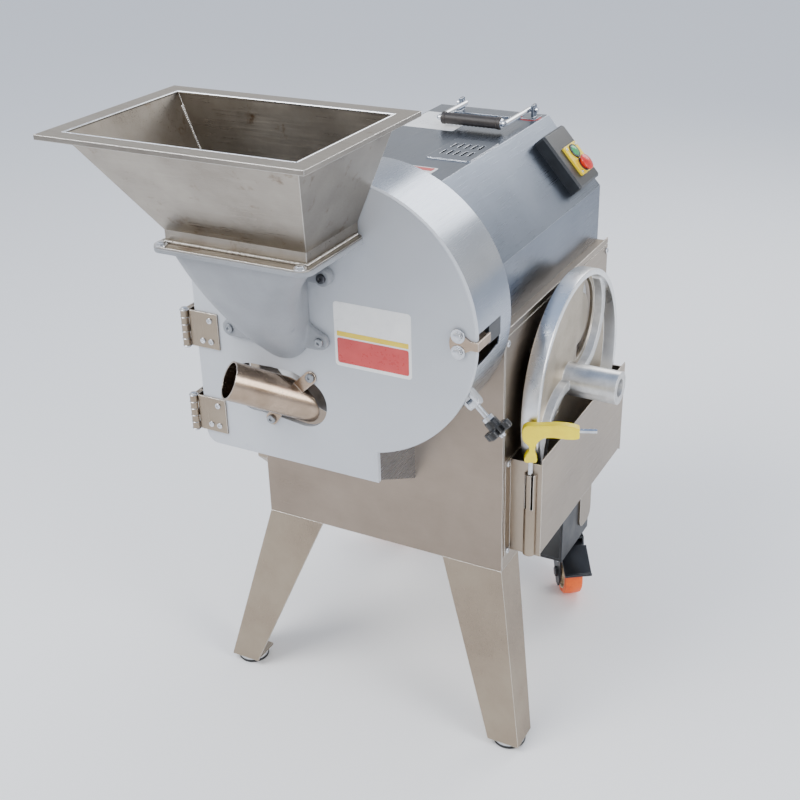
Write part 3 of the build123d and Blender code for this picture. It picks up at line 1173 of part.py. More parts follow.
# Tool holder: half-round pressing with two slots, welded on the rack's front wall
with BuildPart() as tool_holder:
    with BuildSketch(Plane.XY.offset(HOLDER_Z[0])):
        with BuildLine():
            front = RACK_Y[0]
            CenterArc((HOLDER_X, front), HOLDER_RADIUS, 180, 180)
            Line((HOLDER_X + HOLDER_RADIUS, front), (HOLDER_X - HOLDER_RADIUS, front))
        make_face()
    extrude(amount=HOLDER_Z[1] - HOLDER_Z[0])
    with BuildSketch(Plane.XY.offset(HOLDER_Z[0] + SHEET)):
        with Locations((HOLDER_X, RACK_Y[0])):
            Circle(HOLDER_RADIUS - SHEET)
    extrude(amount=HOLDER_Z[1] - HOLDER_Z[0], mode=Mode.SUBTRACT)
    with BuildSketch(Plane.XZ.offset(-RACK_Y[0])):
        with Locations((HOLDER_X, HOLDER_Z[1] - HOLDER_SLOT[1] / 2)):
            with GridLocations(HOLDER_RADIUS, 1, 2, 1):
                Rectangle(HOLDER_SLOT[0], HOLDER_SLOT[1])
    extrude(amount=HOLDER_RADIUS + 1, mode=Mode.SUBTRACT)
keep(tool_holder.part, "tool_holder")

# Hexagon key: a long leg in the holder and a short leg, both moulded into a T-shaped grip
KEY_RADIUS = KEY_ACROSS_FLATS / sqrt(3)
KEY_Y = RACK_Y[0] - KEY_RADIUS - 0.5
GRIP_END = 66.0
key_dir = Vector(cos(radians(KEY_TURN)), sin(radians(KEY_TURN)), 0)
key_plane = Plane(origin=(HOLDER_X, KEY_Y, 0), x_dir=key_dir, z_dir=key_dir.cross(Vector(0, 0, 1)))
with BuildPart() as hex_key:
    with BuildSketch(Plane.XY.offset(HOLDER_Z[0] + SHEET + CLEAR)):
        with Locations((HOLDER_X, KEY_Y)):
            RegularPolygon(KEY_RADIUS, 6)
    extrude(amount=KEY_ARM_Z - HOLDER_Z[0] - SHEET - CLEAR)
    with BuildSketch(Plane(origin=(HOLDER_X, KEY_Y, KEY_ARM_Z), x_dir=(0, 0, 1), z_dir=key_dir)):
        RegularPolygon(KEY_RADIUS, 6)
    extrude(amount=KEY_ARM_END)
keep(hex_key.part, "hex_key")

with BuildPart() as hex_key_grip:
    with BuildSketch(key_plane):
        with BuildLine():
            low, bar_low, bar_high = GRIP_STEM_Z, KEY_ARM_Z - 9, KEY_ARM_Z + 10
            Spline((-7, bar_low - 10), (-13, bar_low + 6), (-9, bar_high - 2), (6, bar_high),
                   (30, bar_high + 1), (GRIP_END - 10, bar_high - 1), (GRIP_END, bar_high - 4))
            Line((GRIP_END, bar_high - 4), (GRIP_END, bar_low))
            Spline((GRIP_END, bar_low), (30, bar_low), (14, bar_low - 3), (7, bar_low - 12),
                   (6.5, low + 12), (9, low + 5), (7, low))
            Line((7, low), (-7, low))
            Spline((-7, low), (-9, low + 5), (-6.5, low + 12), (-7, bar_low - 10))
        make_face()
    extrude(amount=GRIP_THICKNESS / 2, both=True)
    add(hex_key.part, mode=Mode.SUBTRACT)
keep(hex_key_grip.part, "hex_key_grip")

# Swing bolt: ears and pin on the chamber wall, the eye bolt and its star knob
swing_dir = Vector(cos(radians(SWING_ANGLE)), 0, sin(radians(SWING_ANGLE)))
swing_pin = Vector(-sin(radians(SWING_ANGLE)), 0, cos(radians(SWING_ANGLE)))
eye_centre = Vector(SWING_EYE[0], SWING_Y, SWING_EYE[1])
with BuildPart() as swing_bolt:
    with BuildSketch(Plane(origin=eye_centre - swing_pin * 5, x_dir=swing_dir, z_dir=swing_pin)):
        Circle(SWING_EYE_RADIUS)
        Circle(SWING_PIN_RADIUS + RUNNING_FIT, mode=Mode.SUBTRACT)
    extrude(amount=10)
    with BuildSketch(Plane(origin=eye_centre + swing_dir * (SWING_EYE_RADIUS - 1), z_dir=swing_dir)):
        Circle(SWING_ROD_RADIUS)
    extrude(amount=SWING_LENGTH)
keep(swing_bolt.part, "swing_bolt")

with BuildPart() as star_knob:
    with BuildSketch(Plane(origin=eye_centre + swing_dir * KNOB_START, x_dir=swing_pin, z_dir=swing_dir)):
        Circle(KNOB_HUB_RADIUS)
        with PolarLocations(KNOB_STAR_RADIUS - 7, 4):
            Circle(7)
        with PolarLocations((KNOB_STAR_RADIUS - 7) / 2, 4):
            Rectangle(KNOB_STAR_RADIUS - 7, 12)
        Circle(SWING_ROD_RADIUS + RUNNING_FIT, mode=Mode.SUBTRACT)
    extrude(amount=KNOB_HEIGHT)
keep(star_knob.part, "star_knob")

EAR_THICKNESS = 4.0
EYE_HALF = 5.0
with BuildPart() as swing_bolt_bracket:
    for low in (-EYE_HALF - CLEAR - EAR_THICKNESS, EYE_HALF + CLEAR):
        with BuildSketch(Plane(origin=eye_centre + swing_pin * low, x_dir=swing_dir, z_dir=swing_pin)):
            Circle(SWING_EYE_RADIUS)
            with Locations((-8, 0)):
                Rectangle(16, 2 * SWING_EYE_RADIUS)
        extrude(amount=EAR_THICKNESS)
    with BuildSketch(Plane(origin=eye_centre - swing_pin * 10, z_dir=swing_pin)):
        Circle(SWING_PIN_RADIUS)
    extrude(amount=20)
    with BuildSketch(Plane.XZ):
        with Locations(CHAMBER_CENTRE):
            Circle(CHAMBER_RADIUS - CHAMBER_INSET)
    extrude(amount=CHAMBER_FRONT, mode=Mode.SUBTRACT)
keep(swing_bolt_bracket.part, "swing_bolt_bracket")

# Switch on the hood's right slope: black box, yellow face, start and stop buttons
slope_dir = Vector(HOOD_HALF - HOOD_FLAT / 2, 0, HOOD_EAVE - HOOD_TOP).normalized()
slope_normal = Vector(-slope_dir.Z, 0, slope_dir.X)
ridge = Vector(HOOD_FLAT / 2, 0, HOOD_TOP)


def slope_plane(along, y, height):
    """Plane on the hood's right slope; local x runs down the slope."""
    return Plane(origin=ridge + slope_dir * along + slope_normal * height + Vector(0, y, 0),
                 x_dir=slope_dir, z_dir=slope_normal)


with BuildPart() as switch_box:
    with BuildSketch(slope_plane(SWITCH_SLOPE, SWITCH_Y, 0)):
        RectangleRounded(SWITCH_BOX[0], SWITCH_BOX[1], 4)
    extrude(amount=SWITCH_BOX[2])
    front_face = switch_box.faces().filter_by(GeomType.PLANE).sort_by(
        lambda face: face.center().dot(slope_normal))[-1]
    chamfer(front_face.outer_wire().edges(), 3)
keep(switch_box.part, "switch_box")

FACE_SLOPE = SWITCH_SLOPE + 8
with BuildPart() as switch_face:
    with BuildSketch(slope_plane(FACE_SLOPE, SWITCH_Y + 6, SWITCH_BOX[2])):
        RectangleRounded(SWITCH_FACE[0], SWITCH_FACE[1], 3)
    extrude(amount=SWITCH_FACE[2])
    with BuildSketch(slope_plane(FACE_SLOPE, SWITCH_Y + 6, SWITCH_BOX[2])):
        with Locations((-12, 0)):
            Circle(BUTTON_RADIUS + CLEAR)
        with Locations((12, 0)):
            Circle(STOP_RADIUS - 4 + CLEAR)
    extrude(amount=SWITCH_FACE[2], mode=Mode.SUBTRACT)
keep(switch_face.part, "switch_face")

with BuildPart() as start_button:
    with BuildSketch(slope_plane(FACE_SLOPE, SWITCH_Y + 6, SWITCH_BOX[2] + BUTTON_TRAVEL + CLEAR)):
        with Locations((-12, 0)):
            Circle(BUTTON_RADIUS)
    extrude(amount=5)
keep(start_button.part, "start_button")

with BuildPart() as stop_button:
    with BuildSketch(slope_plane(FACE_SLOPE, SWITCH_Y + 6, SWITCH_BOX[2] + BUTTON_TRAVEL + CLEAR)):
        with Locations((12, 0)):
            Circle(STOP_RADIUS - 4)
    extrude(amount=8)
    with BuildSketch(slope_plane(FACE_SLOPE, SWITCH_Y + 6, SWITCH_BOX[2] + BUTTON_TRAVEL + 5)):
        with Locations((12, 0)):
            Circle(STOP_RADIUS)
    extrude(amount=8)
keep(stop_button.part, "stop_button")

# Folding handle on the hood's top: bracket plate with ears, bail and grip
with BuildPart() as handle_bracket:
    with BuildSketch(Plane.XY.offset(HOOD_TOP)):
        with Locations((HANDLE_X, HANDLE_PIVOT_Y)):
            RectangleRounded(HANDLE_SPAN + BRACKET_PLATE[0], BRACKET_PLATE[1], BAIL_RADIUS)
    extrude(amount=BRACKET_PLATE[2])
    for side in (-1, 1):
        ear_x = HANDLE_X + side * (HANDLE_SPAN + BRACKET_EAR[0]) / 2
        with BuildSketch(Plane.YZ.offset(ear_x - BRACKET_EAR[1] / 2)):
            with Locations((HANDLE_PIVOT_Y, HOOD_TOP + (HANDLE_RISE + 2 * BAIL_RADIUS) / 2)):
                Rectangle(BRACKET_EAR[0], HANDLE_RISE + 2 * BAIL_RADIUS)
            with Locations((HANDLE_PIVOT_Y, HOOD_TOP + HANDLE_RISE)):
                Circle(BAIL_RADIUS + RUNNING_FIT, mode=Mode.SUBTRACT)
        extrude(amount=BRACKET_EAR[1])
keep(handle_bracket.part, "handle_bracket")

pivot_z = HOOD_TOP + HANDLE_RISE
grip_y = HANDLE_PIVOT_Y - HANDLE_REACH
with BuildPart() as bail:
    for side in (-1, 1):
        with BuildSketch(Plane.XZ.offset(-grip_y)):
            with Locations((HANDLE_X + side * HANDLE_SPAN / 2, pivot_z)):
                Circle(BAIL_RADIUS)
        extrude(amount=-HANDLE_REACH)
        with BuildSketch(Plane.YZ.offset(HANDLE_X + side * HANDLE_SPAN / 2)):
            with Locations((HANDLE_PIVOT_Y, pivot_z)):
                Circle(BAIL_RADIUS)
        extrude(amount=side * BRACKET_EAR[0])
    with BuildSketch(Plane.YZ.offset(HANDLE_X - HANDLE_SPAN / 2)):
        with Locations((grip_y, pivot_z)):
            Circle(BAIL_RADIUS)
    extrude(amount=HANDLE_SPAN)
keep(bail.part, "bail")

with BuildPart() as bail_grip:
    with BuildSketch(Plane.YZ.offset(HANDLE_X - HANDLE_SPAN / 2 + 6)):
        with Locations((grip_y, pivot_z)):
            Circle(GRIP_RADIUS)
            Circle(BAIL_RADIUS, mode=Mode.SUBTRACT)
    extrude(amount=HANDLE_SPAN - 12)
keep(bail_grip.part, "bail_grip")

# The model's origin is the middle of its footprint box, on the floor
boxes = [piece.bounding_box() for piece in pieces.values()]
ORIGIN = ((min(box.min.X for box in boxes) + max(box.max.X for box in boxes)) / 2,
          (min(box.min.Y for box in boxes) + max(box.max.Y for box in boxes)) / 2)
os.makedirs("parts", exist_ok=True)
for name, piece in pieces.items():
    placed = piece.moved(Location((-ORIGIN[0], -ORIGIN[1], 0)))
    placed.label = name
    export_step(placed, f"parts/{name}.step")
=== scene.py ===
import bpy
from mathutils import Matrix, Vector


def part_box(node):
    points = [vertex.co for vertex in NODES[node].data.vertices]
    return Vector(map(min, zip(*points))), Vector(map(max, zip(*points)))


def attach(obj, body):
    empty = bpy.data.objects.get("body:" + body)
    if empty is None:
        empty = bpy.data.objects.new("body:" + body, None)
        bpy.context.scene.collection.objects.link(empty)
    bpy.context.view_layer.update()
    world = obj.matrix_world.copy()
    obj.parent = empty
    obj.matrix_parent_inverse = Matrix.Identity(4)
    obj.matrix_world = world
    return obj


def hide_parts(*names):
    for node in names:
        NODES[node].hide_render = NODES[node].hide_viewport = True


bl_info = {
    "name": "Vegetable slicer dressing",
    "version": (1, 0, 0),
    "blender": (4, 5, 0),
    "location": "View3D > Sidebar > Slicer",
    "description": "Finishes the slicer's metal, paint, rubber and plastic and sets the studio",
    "category": "Object",
}

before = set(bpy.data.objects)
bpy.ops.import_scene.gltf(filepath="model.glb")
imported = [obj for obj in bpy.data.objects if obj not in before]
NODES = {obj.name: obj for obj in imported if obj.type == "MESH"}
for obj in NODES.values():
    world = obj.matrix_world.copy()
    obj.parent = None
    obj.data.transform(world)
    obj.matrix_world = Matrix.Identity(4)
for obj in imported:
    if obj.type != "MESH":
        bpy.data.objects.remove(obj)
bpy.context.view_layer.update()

import math
import random

import bmesh
import bpy
from mathutils import Matrix, Vector

PANEL_LOW, PANEL_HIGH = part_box("front_panel")
# The cabinet's middle line and the face of its front panel, from which places are measured
DATUM = Vector(((PANEL_LOW.x + PANEL_HIGH.x) / 2, PANEL_LOW.y, 0))


def at(x, y, z):
    """Place on the model, from millimetres off the cabinet's middle line and front panel."""
    return Vector((x, y, z)) / 1000 + DATUM


def low_high(node):
    """Lowest corner, highest corner, middle and size of a node."""
    low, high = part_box(node)
    return low, high, (low + high) / 2, high - low


# Materials


def linear(colour, alpha=1.0):
    """Linear colour of an sRGB hex value."""
    parts = [int(colour[i:i + 2], 16) / 255 for i in (1, 3, 5)]
    return tuple(p / 12.92 if p <= 0.04045 else ((p + 0.055) / 1.055) ** 2.4 for p in parts) + (alpha,)


def put(tree, kind, inputs=None, **settings):
    """Adds a node with its settings and its inputs, each a value or another node's output."""
    node = tree.nodes.new(kind)
    for name, value in settings.items():
        if name == "stops":
            ramp = node.color_ramp
            while len(ramp.elements) < len(value):
                ramp.elements.new(1.0)
            for element, (place, colour) in zip(ramp.elements, value):
                element.position = place
                element.color = colour
        else:
            setattr(node, name, value)
    for socket, value in (inputs or {}).items():
        if isinstance(value, bpy.types.NodeSocket):
            tree.links.new(value, node.inputs[socket])
        else:
            node.inputs[socket].default_value = value
    return node


def grey(level):
    """A grey ramp stop from 0 to 1, not colour managed."""
    return (level, level, level, 1.0)


def made_of(name, colours, patch_mm, grain=(1, 1, 1), rough=(0.3, 0.4), metal=0.0,
            texture_mm=1.0, depth_mm=0.02, edge=None, edge_mm=1.2, spots=None, rings=None, **shader):
    """Material with mottled colour, roughness in streaks, a fine texture and edges lightened partly by
    wear, partly as painted highlight.

    patch_mm is the size of the colour patches, texture_mm that of the fine texture, and grain
    stretches the fine texture: 0.02 along an axis makes streaks fifty times longer than they are wide.
    rings is a centre and the plane's two axes as ones, for marks left by turning on a lathe.
    """
    material = bpy.data.materials.new(name)
    material.use_nodes = True
    tree = material.node_tree
    skin = tree.nodes["Principled BSDF"]
    place = put(tree, "ShaderNodeTexCoord").outputs["Object"]
    drawn = put(tree, "ShaderNodeMapping", {"Vector": place, "Scale": grain}).outputs["Vector"]
    if rings:
        arm = put(tree, "ShaderNodeVectorMath", {0: place, 1: rings[0]},
                  operation="SUBTRACT").outputs["Vector"]
        flat = put(tree, "ShaderNodeVectorMath", {0: arm, 1: rings[1]},
                   operation="MULTIPLY").outputs["Vector"]
        reach = put(tree, "ShaderNodeVectorMath", {0: flat}, operation="LENGTH").outputs["Value"]
        drawn = put(tree, "ShaderNodeCombineXYZ", {"X": reach}).outputs["Vector"]
    patches = put(tree, "ShaderNodeTexNoise", {"Vector": place, "Scale": 1000 / patch_mm,
                                               "Detail": 5.0, "Roughness": 0.6}).outputs["Fac"]
    streaks = put(tree, "ShaderNodeTexNoise", {"Vector": drawn, "Scale": 1000 / texture_mm,
                                               "Detail": 3.0}).outputs["Fac"]
    tint = put(tree, "ShaderNodeValToRGB", {"Fac": patches},
               stops=[(0.3, linear(colours[0])), (0.7, linear(colours[1]))]).outputs["Color"]
    if spots:
        colour, size, reach = spots
        dirt = put(tree, "ShaderNodeTexNoise", {"Vector": place, "Scale": 1000 / size,
                                                "Detail": 8.0, "Roughness": 0.7}).outputs["Fac"]
        mask = put(tree, "ShaderNodeValToRGB", {"Fac": dirt},
                   stops=[(reach, grey(0)), (reach + 0.12, grey(1))]).outputs["Color"]
        tint = put(tree, "ShaderNodeMix", {"Factor": mask, "A": tint, "B": linear(colour)},
                   data_type="RGBA").outputs["Result"]
    rounded = put(tree, "ShaderNodeBevel", {"Radius": edge_mm / 1000}, samples=4).outputs["Normal"]
    # Edges take the edge colour: partly wear, partly painted highlight along every edge
    if edge:
        face = put(tree, "ShaderNodeNewGeometry").outputs["Normal"]
        turn = put(tree, "ShaderNodeVectorMath", {0: rounded, 1: face},
                   operation="DOT_PRODUCT").outputs["Value"]
        worn_and_highlit_edges = put(tree, "ShaderNodeValToRGB", {"Fac": turn},
                   stops=[(0.86, grey(1)), (0.985, grey(0))]).outputs["Color"]
        tint = put(tree, "ShaderNodeMix", {"Factor": worn_and_highlit_edges, "A": tint, "B": linear(edge)},
                   data_type="RGBA").outputs["Result"]
    tree.links.new(tint, skin.inputs["Base Color"])
    both = put(tree, "ShaderNodeMath", {0: patches, 1: streaks}, operation="ADD").outputs["Value"]
    gloss = put(tree, "ShaderNodeMapRange", {"Value": both, "From Min": 0.7, "From Max": 1.3,
                                             "To Min": rough[0], "To Max": rough[1]})
    tree.links.new(gloss.outputs["Result"], skin.inputs["Roughness"])
    bump = put(tree, "ShaderNodeBump", {"Height": streaks, "Normal": rounded,
                                        "Distance": depth_mm / 1000, "Strength": 1.0})
    tree.links.new(bump.outputs["Normal"], skin.inputs["Normal"])
    skin.inputs["Metallic"].default_value = metal
    for socket, value in shader.items():
        skin.inputs[socket.replace("_", " ")].default_value = value
    return material


STREAK = 0.02

# Rolled stainless sheet, 304, brushed with a 240 grit belt: long soft streaks that blur what it
# mirrors along the grain. Real scratches are 0.1 mm wide, drawn 1.2 mm wide so that they show.
# Painted reflection: the front, side and leg steels are tinted tan for the ground they mirror, the front
# darker than the sides by how each face is lit
STEEL_FRONT_GROUND_REFLECTION = made_of("brushed_stainless_front", ("#84776A", "#9A8D80"), 160, grain=(STREAK, 1, 1),
                      rough=(0.26, 0.42), metal=1.0, texture_mm=1.2, depth_mm=0.012,
                      edge="#E9E4DC", Anisotropic=0.3)
STEEL_SIDE_GROUND_REFLECTION = made_of("brushed_stainless_side", ("#8F8273", "#A89B8C"), 160, grain=(1, STREAK, 1),
                     rough=(0.26, 0.42), metal=1.0, texture_mm=1.2, depth_mm=0.012, edge="#EDE8E0")
# Painted sky reflection: the hood's steel is tinted blue-grey
STEEL_HOOD_SKY_REFLECTION = made_of("brushed_stainless_hood", ("#5F6773", "#79818D"), 220, grain=(1, STREAK, 1),
                     rough=(0.24, 0.36), metal=1.0, texture_mm=1.2, depth_mm=0.01, edge="#D9DEE6")
STEEL_LEG_GROUND_REFLECTION = made_of("brushed_stainless_leg", ("#8D7F6F", "#A39685"), 120, grain=(1, 1, STREAK),
                    rough=(0.24, 0.38), metal=1.0, texture_mm=1.2, depth_mm=0.012, edge="#F1ECE4")
STEEL_HOPPER = made_of("brushed_stainless_hopper", ("#877F75", "#A59E94"), 90,
                       grain=(STREAK, 1, 1), rough=(0.25, 0.42), metal=1.0, texture_mm=1.4,
                       depth_mm=0.015, edge="#F2EFEA", spots=("#6E5B48", 38, 0.6))
# Painted sky reflection: the ring's steel is tinted blue-grey
STEEL_RING_SKY_REFLECTION = made_of("rolled_stainless_strip", ("#9BA2AD", "#B4BAC3"), 200, grain=(1, STREAK, 1),
                     rough=(0.2, 0.32), metal=1.0, texture_mm=1.2, depth_mm=0.01, edge="#E4E8EE")
# Painted ground reflection: the tube's steel is tinted tan
STEEL_TUBE_GROUND_REFLECTION = made_of("rolled_stainless_tube", ("#8E7B69", "#B39F8C"), 40, grain=(0.05, 1, 1),
                     rough=(0.16, 0.3), metal=1.0, texture_mm=2.0, depth_mm=0.02, edge="#EFE6DA")

# Grey two-pack enamel sprayed on steel plate: soft shine with a faint orange peel
ENAMEL = made_of("grey_enamel_on_plate", ("#B6BAC0", "#C0C4CA"), 260, rough=(0.34, 0.46),
                 texture_mm=3.0, depth_mm=0.01, edge="#D3D8E0", IOR=1.5,
                 spots=("#A7ADB6", 60, 0.66))
# The same enamel brushed over a sand casting: the grains of the mould show through; its colour is darker
# than the door's as painted shade
ENAMEL_CAST_SHADED = made_of("grey_enamel_on_casting", ("#84878C", "#95989D"), 70, rough=(0.38, 0.52),
                      texture_mm=2.4, depth_mm=0.12, edge="#AEB1B6", IOR=1.5,
                      spots=("#74767A", 30, 0.64))
# Grey machine paint on the parts inside
PAINT = made_of("machine_paint", ("#565D66", "#666E78"), 80, rough=(0.45, 0.6), texture_mm=2.5,
                depth_mm=0.05, edge="#8A919A", IOR=1.5)
IRON = made_of("machined_cast_iron", ("#4B4B4D", "#5E5E61"), 12, rough=(0.4, 0.55), metal=1.0,
               texture_mm=0.9, depth_mm=0.04, edge="#9A9A9C")
# Cast aluminium, left as it came out of the sand on the web
CAST_ALUMINIUM = made_of("sand_cast_aluminium", ("#A39886", "#BDB3A3"), 30, rough=(0.36, 0.52),
                         metal=1.0, texture_mm=1.6, depth_mm=0.08, edge="#F4F2EE", edge_mm=1.6)
# Hardened and ground tool steel
BLADE = made_of("ground_tool_steel", ("#C9CCD2", "#E2E4E8"), 40, grain=(0.05, 1, 1),
                rough=(0.12, 0.22), metal=1.0, texture_mm=1.0, depth_mm=0.005, edge="#FFFFFF")
# Bright zinc plating, clear passivated
ZINC = made_of("bright_zinc_plate", ("#B9BBBF", "#D6D8DC"), 9, rough=(0.18, 0.3), metal=1.0,
               texture_mm=0.8, depth_mm=0.008, edge="#F4F5F7", edge_mm=0.5)
# Zinc plating gone dull with damp
ZINC_DULL = made_of("dulled_zinc_plate", ("#85888C", "#A3A6AA"), 7, rough=(0.3, 0.45), metal=1.0,
                    texture_mm=0.8, depth_mm=0.015, edge="#D5D7DA", edge_mm=0.5)
# Alloy steel blacked in hot oxide and oiled
BLACK_OXIDE = made_of("black_oxide_screws", ("#3A3A3D", "#55565A"), 6, rough=(0.28, 0.4),
                      metal=1.0, texture_mm=0.7, depth_mm=0.01, edge="#A0A2A6", edge_mm=0.5)
# Nickel and chrome plated steel wire
CHROME = made_of("chrome_plated_wire", ("#C8CACE", "#DFE1E5"), 20, rough=(0.06, 0.12), metal=1.0,
                 texture_mm=2.0, depth_mm=0.004, edge="#FFFFFF", edge_mm=0.5)
# Black powder coat with a fine texture; on the castor mounts it is painted shade
BLACK_COAT_AND_SHADE = made_of("black_powder_coat", ("#121316", "#1D1F24"), 25, rough=(0.32, 0.5),
                     texture_mm=1.0, depth_mm=0.03, edge="#5A5F69", IOR=1.5)
RUBBER = made_of("moulded_nitrile_rubber", ("#161617", "#232324"), 18, rough=(0.55, 0.72),
                 texture_mm=0.8, depth_mm=0.03, edge="#3A3A3B", IOR=1.52)
BAKELITE = made_of("black_phenolic", ("#0E0E10", "#17181A"), 14, rough=(0.2, 0.32),
                   texture_mm=1.2, depth_mm=0.008, edge="#4A4C50", IOR=1.6)
TREAD = made_of("cast_polyurethane_tread", ("#DE4A08", "#F2680F"), 14, rough=(0.36, 0.5),
                texture_mm=1.0, depth_mm=0.02, edge="#F79A5B", IOR=1.5,
                spots=("#6B4630", 12, 0.6))
GRIP = made_of("ribbed_vinyl_grip", ("#2B2624", "#3B3532"), 12, rough=(0.4, 0.55),
               texture_mm=0.9, depth_mm=0.03, edge="#6A625C", IOR=1.5)
ABS_BLACK = made_of("moulded_black_abs", ("#17191C", "#24272B"), 20, rough=(0.3, 0.42),
                    texture_mm=0.9, depth_mm=0.015, edge="#5B6067", IOR=1.53)
ABS_YELLOW = made_of("moulded_yellow_abs", ("#EFCC00", "#FADB06"), 26, rough=(0.26, 0.36),
                     texture_mm=1.0, depth_mm=0.01, edge="#FFF27A", IOR=1.53,
                     Subsurface_Weight=0.05, Subsurface_Scale=0.002)
NYLON_YELLOW = made_of("moulded_yellow_nylon", ("#F0D400", "#FFE600"), 22, rough=(0.28, 0.4),
                       texture_mm=1.0, depth_mm=0.015, edge="#FFF68A", IOR=1.53,
                       Subsurface_Weight=0.08, Subsurface_Scale=0.003)
LENS_GREEN = made_of("moulded_green_acrylic", ("#2C8F55", "#45AD6E"), 8, rough=(0.12, 0.2),
                     texture_mm=1.0, depth_mm=0.006, edge="#9AD8B2", IOR=1.49)
STOP_RED = made_of("moulded_red_abs", ("#C01A17", "#D92B25"), 10, rough=(0.2, 0.3),
                   texture_mm=1.0, depth_mm=0.006, edge="#F0766F", IOR=1.53)
BELT = made_of("wrapped_v_belt", ("#17181A", "#26282B"), 6, rough=(0.6, 0.8), texture_mm=1.2,
               depth_mm=0.08, edge="#3C3E42", IOR=1.5)
VINYL_WHITE = made_of("printed_vinyl_white", ("#E9E9E8", "#F4F4F2"), 30, rough=(0.25, 0.35),
                      texture_mm=4.0, depth_mm=0.01, IOR=1.5, edge_mm=0.2)
VINYL_RED = made_of("printed_vinyl_red", ("#C2393A", "#CF4A48"), 30, rough=(0.25, 0.35),
                    texture_mm=4.0, depth_mm=0.01, IOR=1.5, edge_mm=0.2)
VINYL_YELLOW = made_of("printed_vinyl_yellow", ("#E6C52A", "#EFD23C"), 30, rough=(0.25, 0.35),
                       texture_mm=4.0, depth_mm=0.01, IOR=1.5, edge_mm=0.2)

# Glass-filled nylon of the castor hubs
HUB = made_of("moulded_cream_nylon", ("#D8BE98", "#E8D3B2"), 12, rough=(0.35, 0.5), texture_mm=1.0,
              depth_mm=0.02, edge="#F3E6CF", IOR=1.53)
# Arc weld, wire-brushed: bright overlapping scales
WELD = made_of("brushed_arc_weld", ("#A8A39B", "#DAD6CF"), 5, rough=(0.22, 0.4), metal=1.0,
               texture_mm=1.2, depth_mm=0.06, edge="#FFFFFF", edge_mm=0.4)
# Folded sheet edge, burnished by handling
EDGE_STEEL = made_of("burnished_sheet_edge", ("#D6D8DB", "#F1F2F3"), 40, rough=(0.14, 0.26),
                     metal=1.0, texture_mm=1.2, depth_mm=0.006, edge="#FFFFFF", edge_mm=0.4)
SPARE_CENTRE = sum(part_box("spare_disc"), Vector()) / 2
CUTTER_CENTRE = sum(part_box("cutter_disc"), Vector()) / 2
# Cast aluminium turned on a lathe: concentric tool marks, drawn 0.9 mm apart so that they show
TURNED_SPARE = made_of("turned_aluminium_spare", ("#DCDDDE", "#F2F2F2"), 60, rough=(0.2, 0.34),
                       metal=1.0, texture_mm=0.9, depth_mm=0.015, edge="#FFFFFF",
                       rings=(SPARE_CENTRE, Vector((0, 1, 1))))
TURNED_CUTTER = made_of("turned_aluminium_cutter", ("#DCDDDE", "#F2F2F2"), 60, rough=(0.2, 0.34),
                        metal=1.0, texture_mm=0.9, depth_mm=0.015, edge="#FFFFFF",
                        rings=(CUTTER_CENTRE, Vector((1, 0, 1))))
BRIGHT_ALUMINIUM = made_of("blasted_aluminium", ("#B9B8B6", "#D9D8D6"), 16, rough=(0.28, 0.42),
                           metal=1.0, texture_mm=1.2, depth_mm=0.04, edge="#FFFFFF")

NODE_FINISH = {
    "front_panel": STEEL_FRONT_GROUND_REFLECTION, "cabinet_shell": STEEL_SIDE_GROUND_REFLECTION, "right_side_panel": STEEL_SIDE_GROUND_REFLECTION,
    "left_side_cover": STEEL_SIDE_GROUND_REFLECTION, "rear_panel": STEEL_FRONT_GROUND_REFLECTION, "chamber_shell": STEEL_RING_SKY_REFLECTION,
    "hood": STEEL_HOOD_SKY_REFLECTION, "hopper": STEEL_HOPPER, "feed_tube": STEEL_TUBE_GROUND_REFLECTION, "disc_rack": STEEL_SIDE_GROUND_REFLECTION,
    "tool_holder": STEEL_LEG_GROUND_REFLECTION, "front_leg_left": STEEL_LEG_GROUND_REFLECTION, "front_leg_right": STEEL_LEG_GROUND_REFLECTION,
    "rear_leg_left": STEEL_LEG_GROUND_REFLECTION, "rear_leg_right": STEEL_LEG_GROUND_REFLECTION, "door_catch": STEEL_TUBE_GROUND_REFLECTION,
    "hinge_fixed_leaves": STEEL_LEG_GROUND_REFLECTION, "hinge_door_leaves": STEEL_LEG_GROUND_REFLECTION, "handle_bracket": STEEL_HOOD_SKY_REFLECTION,
    "panel_screws": ZINC, "hinge_screws": ZINC, "hinge_pins": ZINC, "door_bolts": ZINC,
    "swing_bolt_bracket": ZINC, "swing_bolt": ZINC, "disc_bolt": ZINC, "motor_shaft": ZINC,
    "main_shaft": ZINC, "hex_key": ZINC, "socket_screws": BLACK_OXIDE, "door_plate": ENAMEL,
    "cast_chute": ENAMEL_CAST_SHADED, "base_frame": PAINT, "motor": PAINT, "front_bearing_block": PAINT,
    "rear_bearing_block": PAINT, "driven_pulley": IRON, "motor_pulley": IRON, "drive_belt": BELT,
    "foot_pads": RUBBER, "interlock_switch": ABS_BLACK, "star_knob": BAKELITE,
    "switch_box": ABS_BLACK, "cutter_disc": CAST_ALUMINIUM, "spare_disc": CAST_ALUMINIUM,
    # The castor mounts are black as painted shade under the rear of the cabinet
    "cutter_blades": BLADE, "spare_blades": BLADE, "castor_mounts": BLACK_COAT_AND_SHADE,
    "castor_fork_left": BLACK_COAT_AND_SHADE, "castor_fork_right": BLACK_COAT_AND_SHADE,
    "castor_brake_left": BLACK_COAT_AND_SHADE, "castor_brake_right": BLACK_COAT_AND_SHADE,
    "castor_wheel_left": TREAD, "castor_wheel_right": TREAD, "bail": CHROME, "bail_grip": GRIP,
    "hex_key_grip": NYLON_YELLOW, "switch_face": ABS_YELLOW, "start_button": LENS_GREEN,
    "stop_button": STOP_RED,
}


MM = 0.001
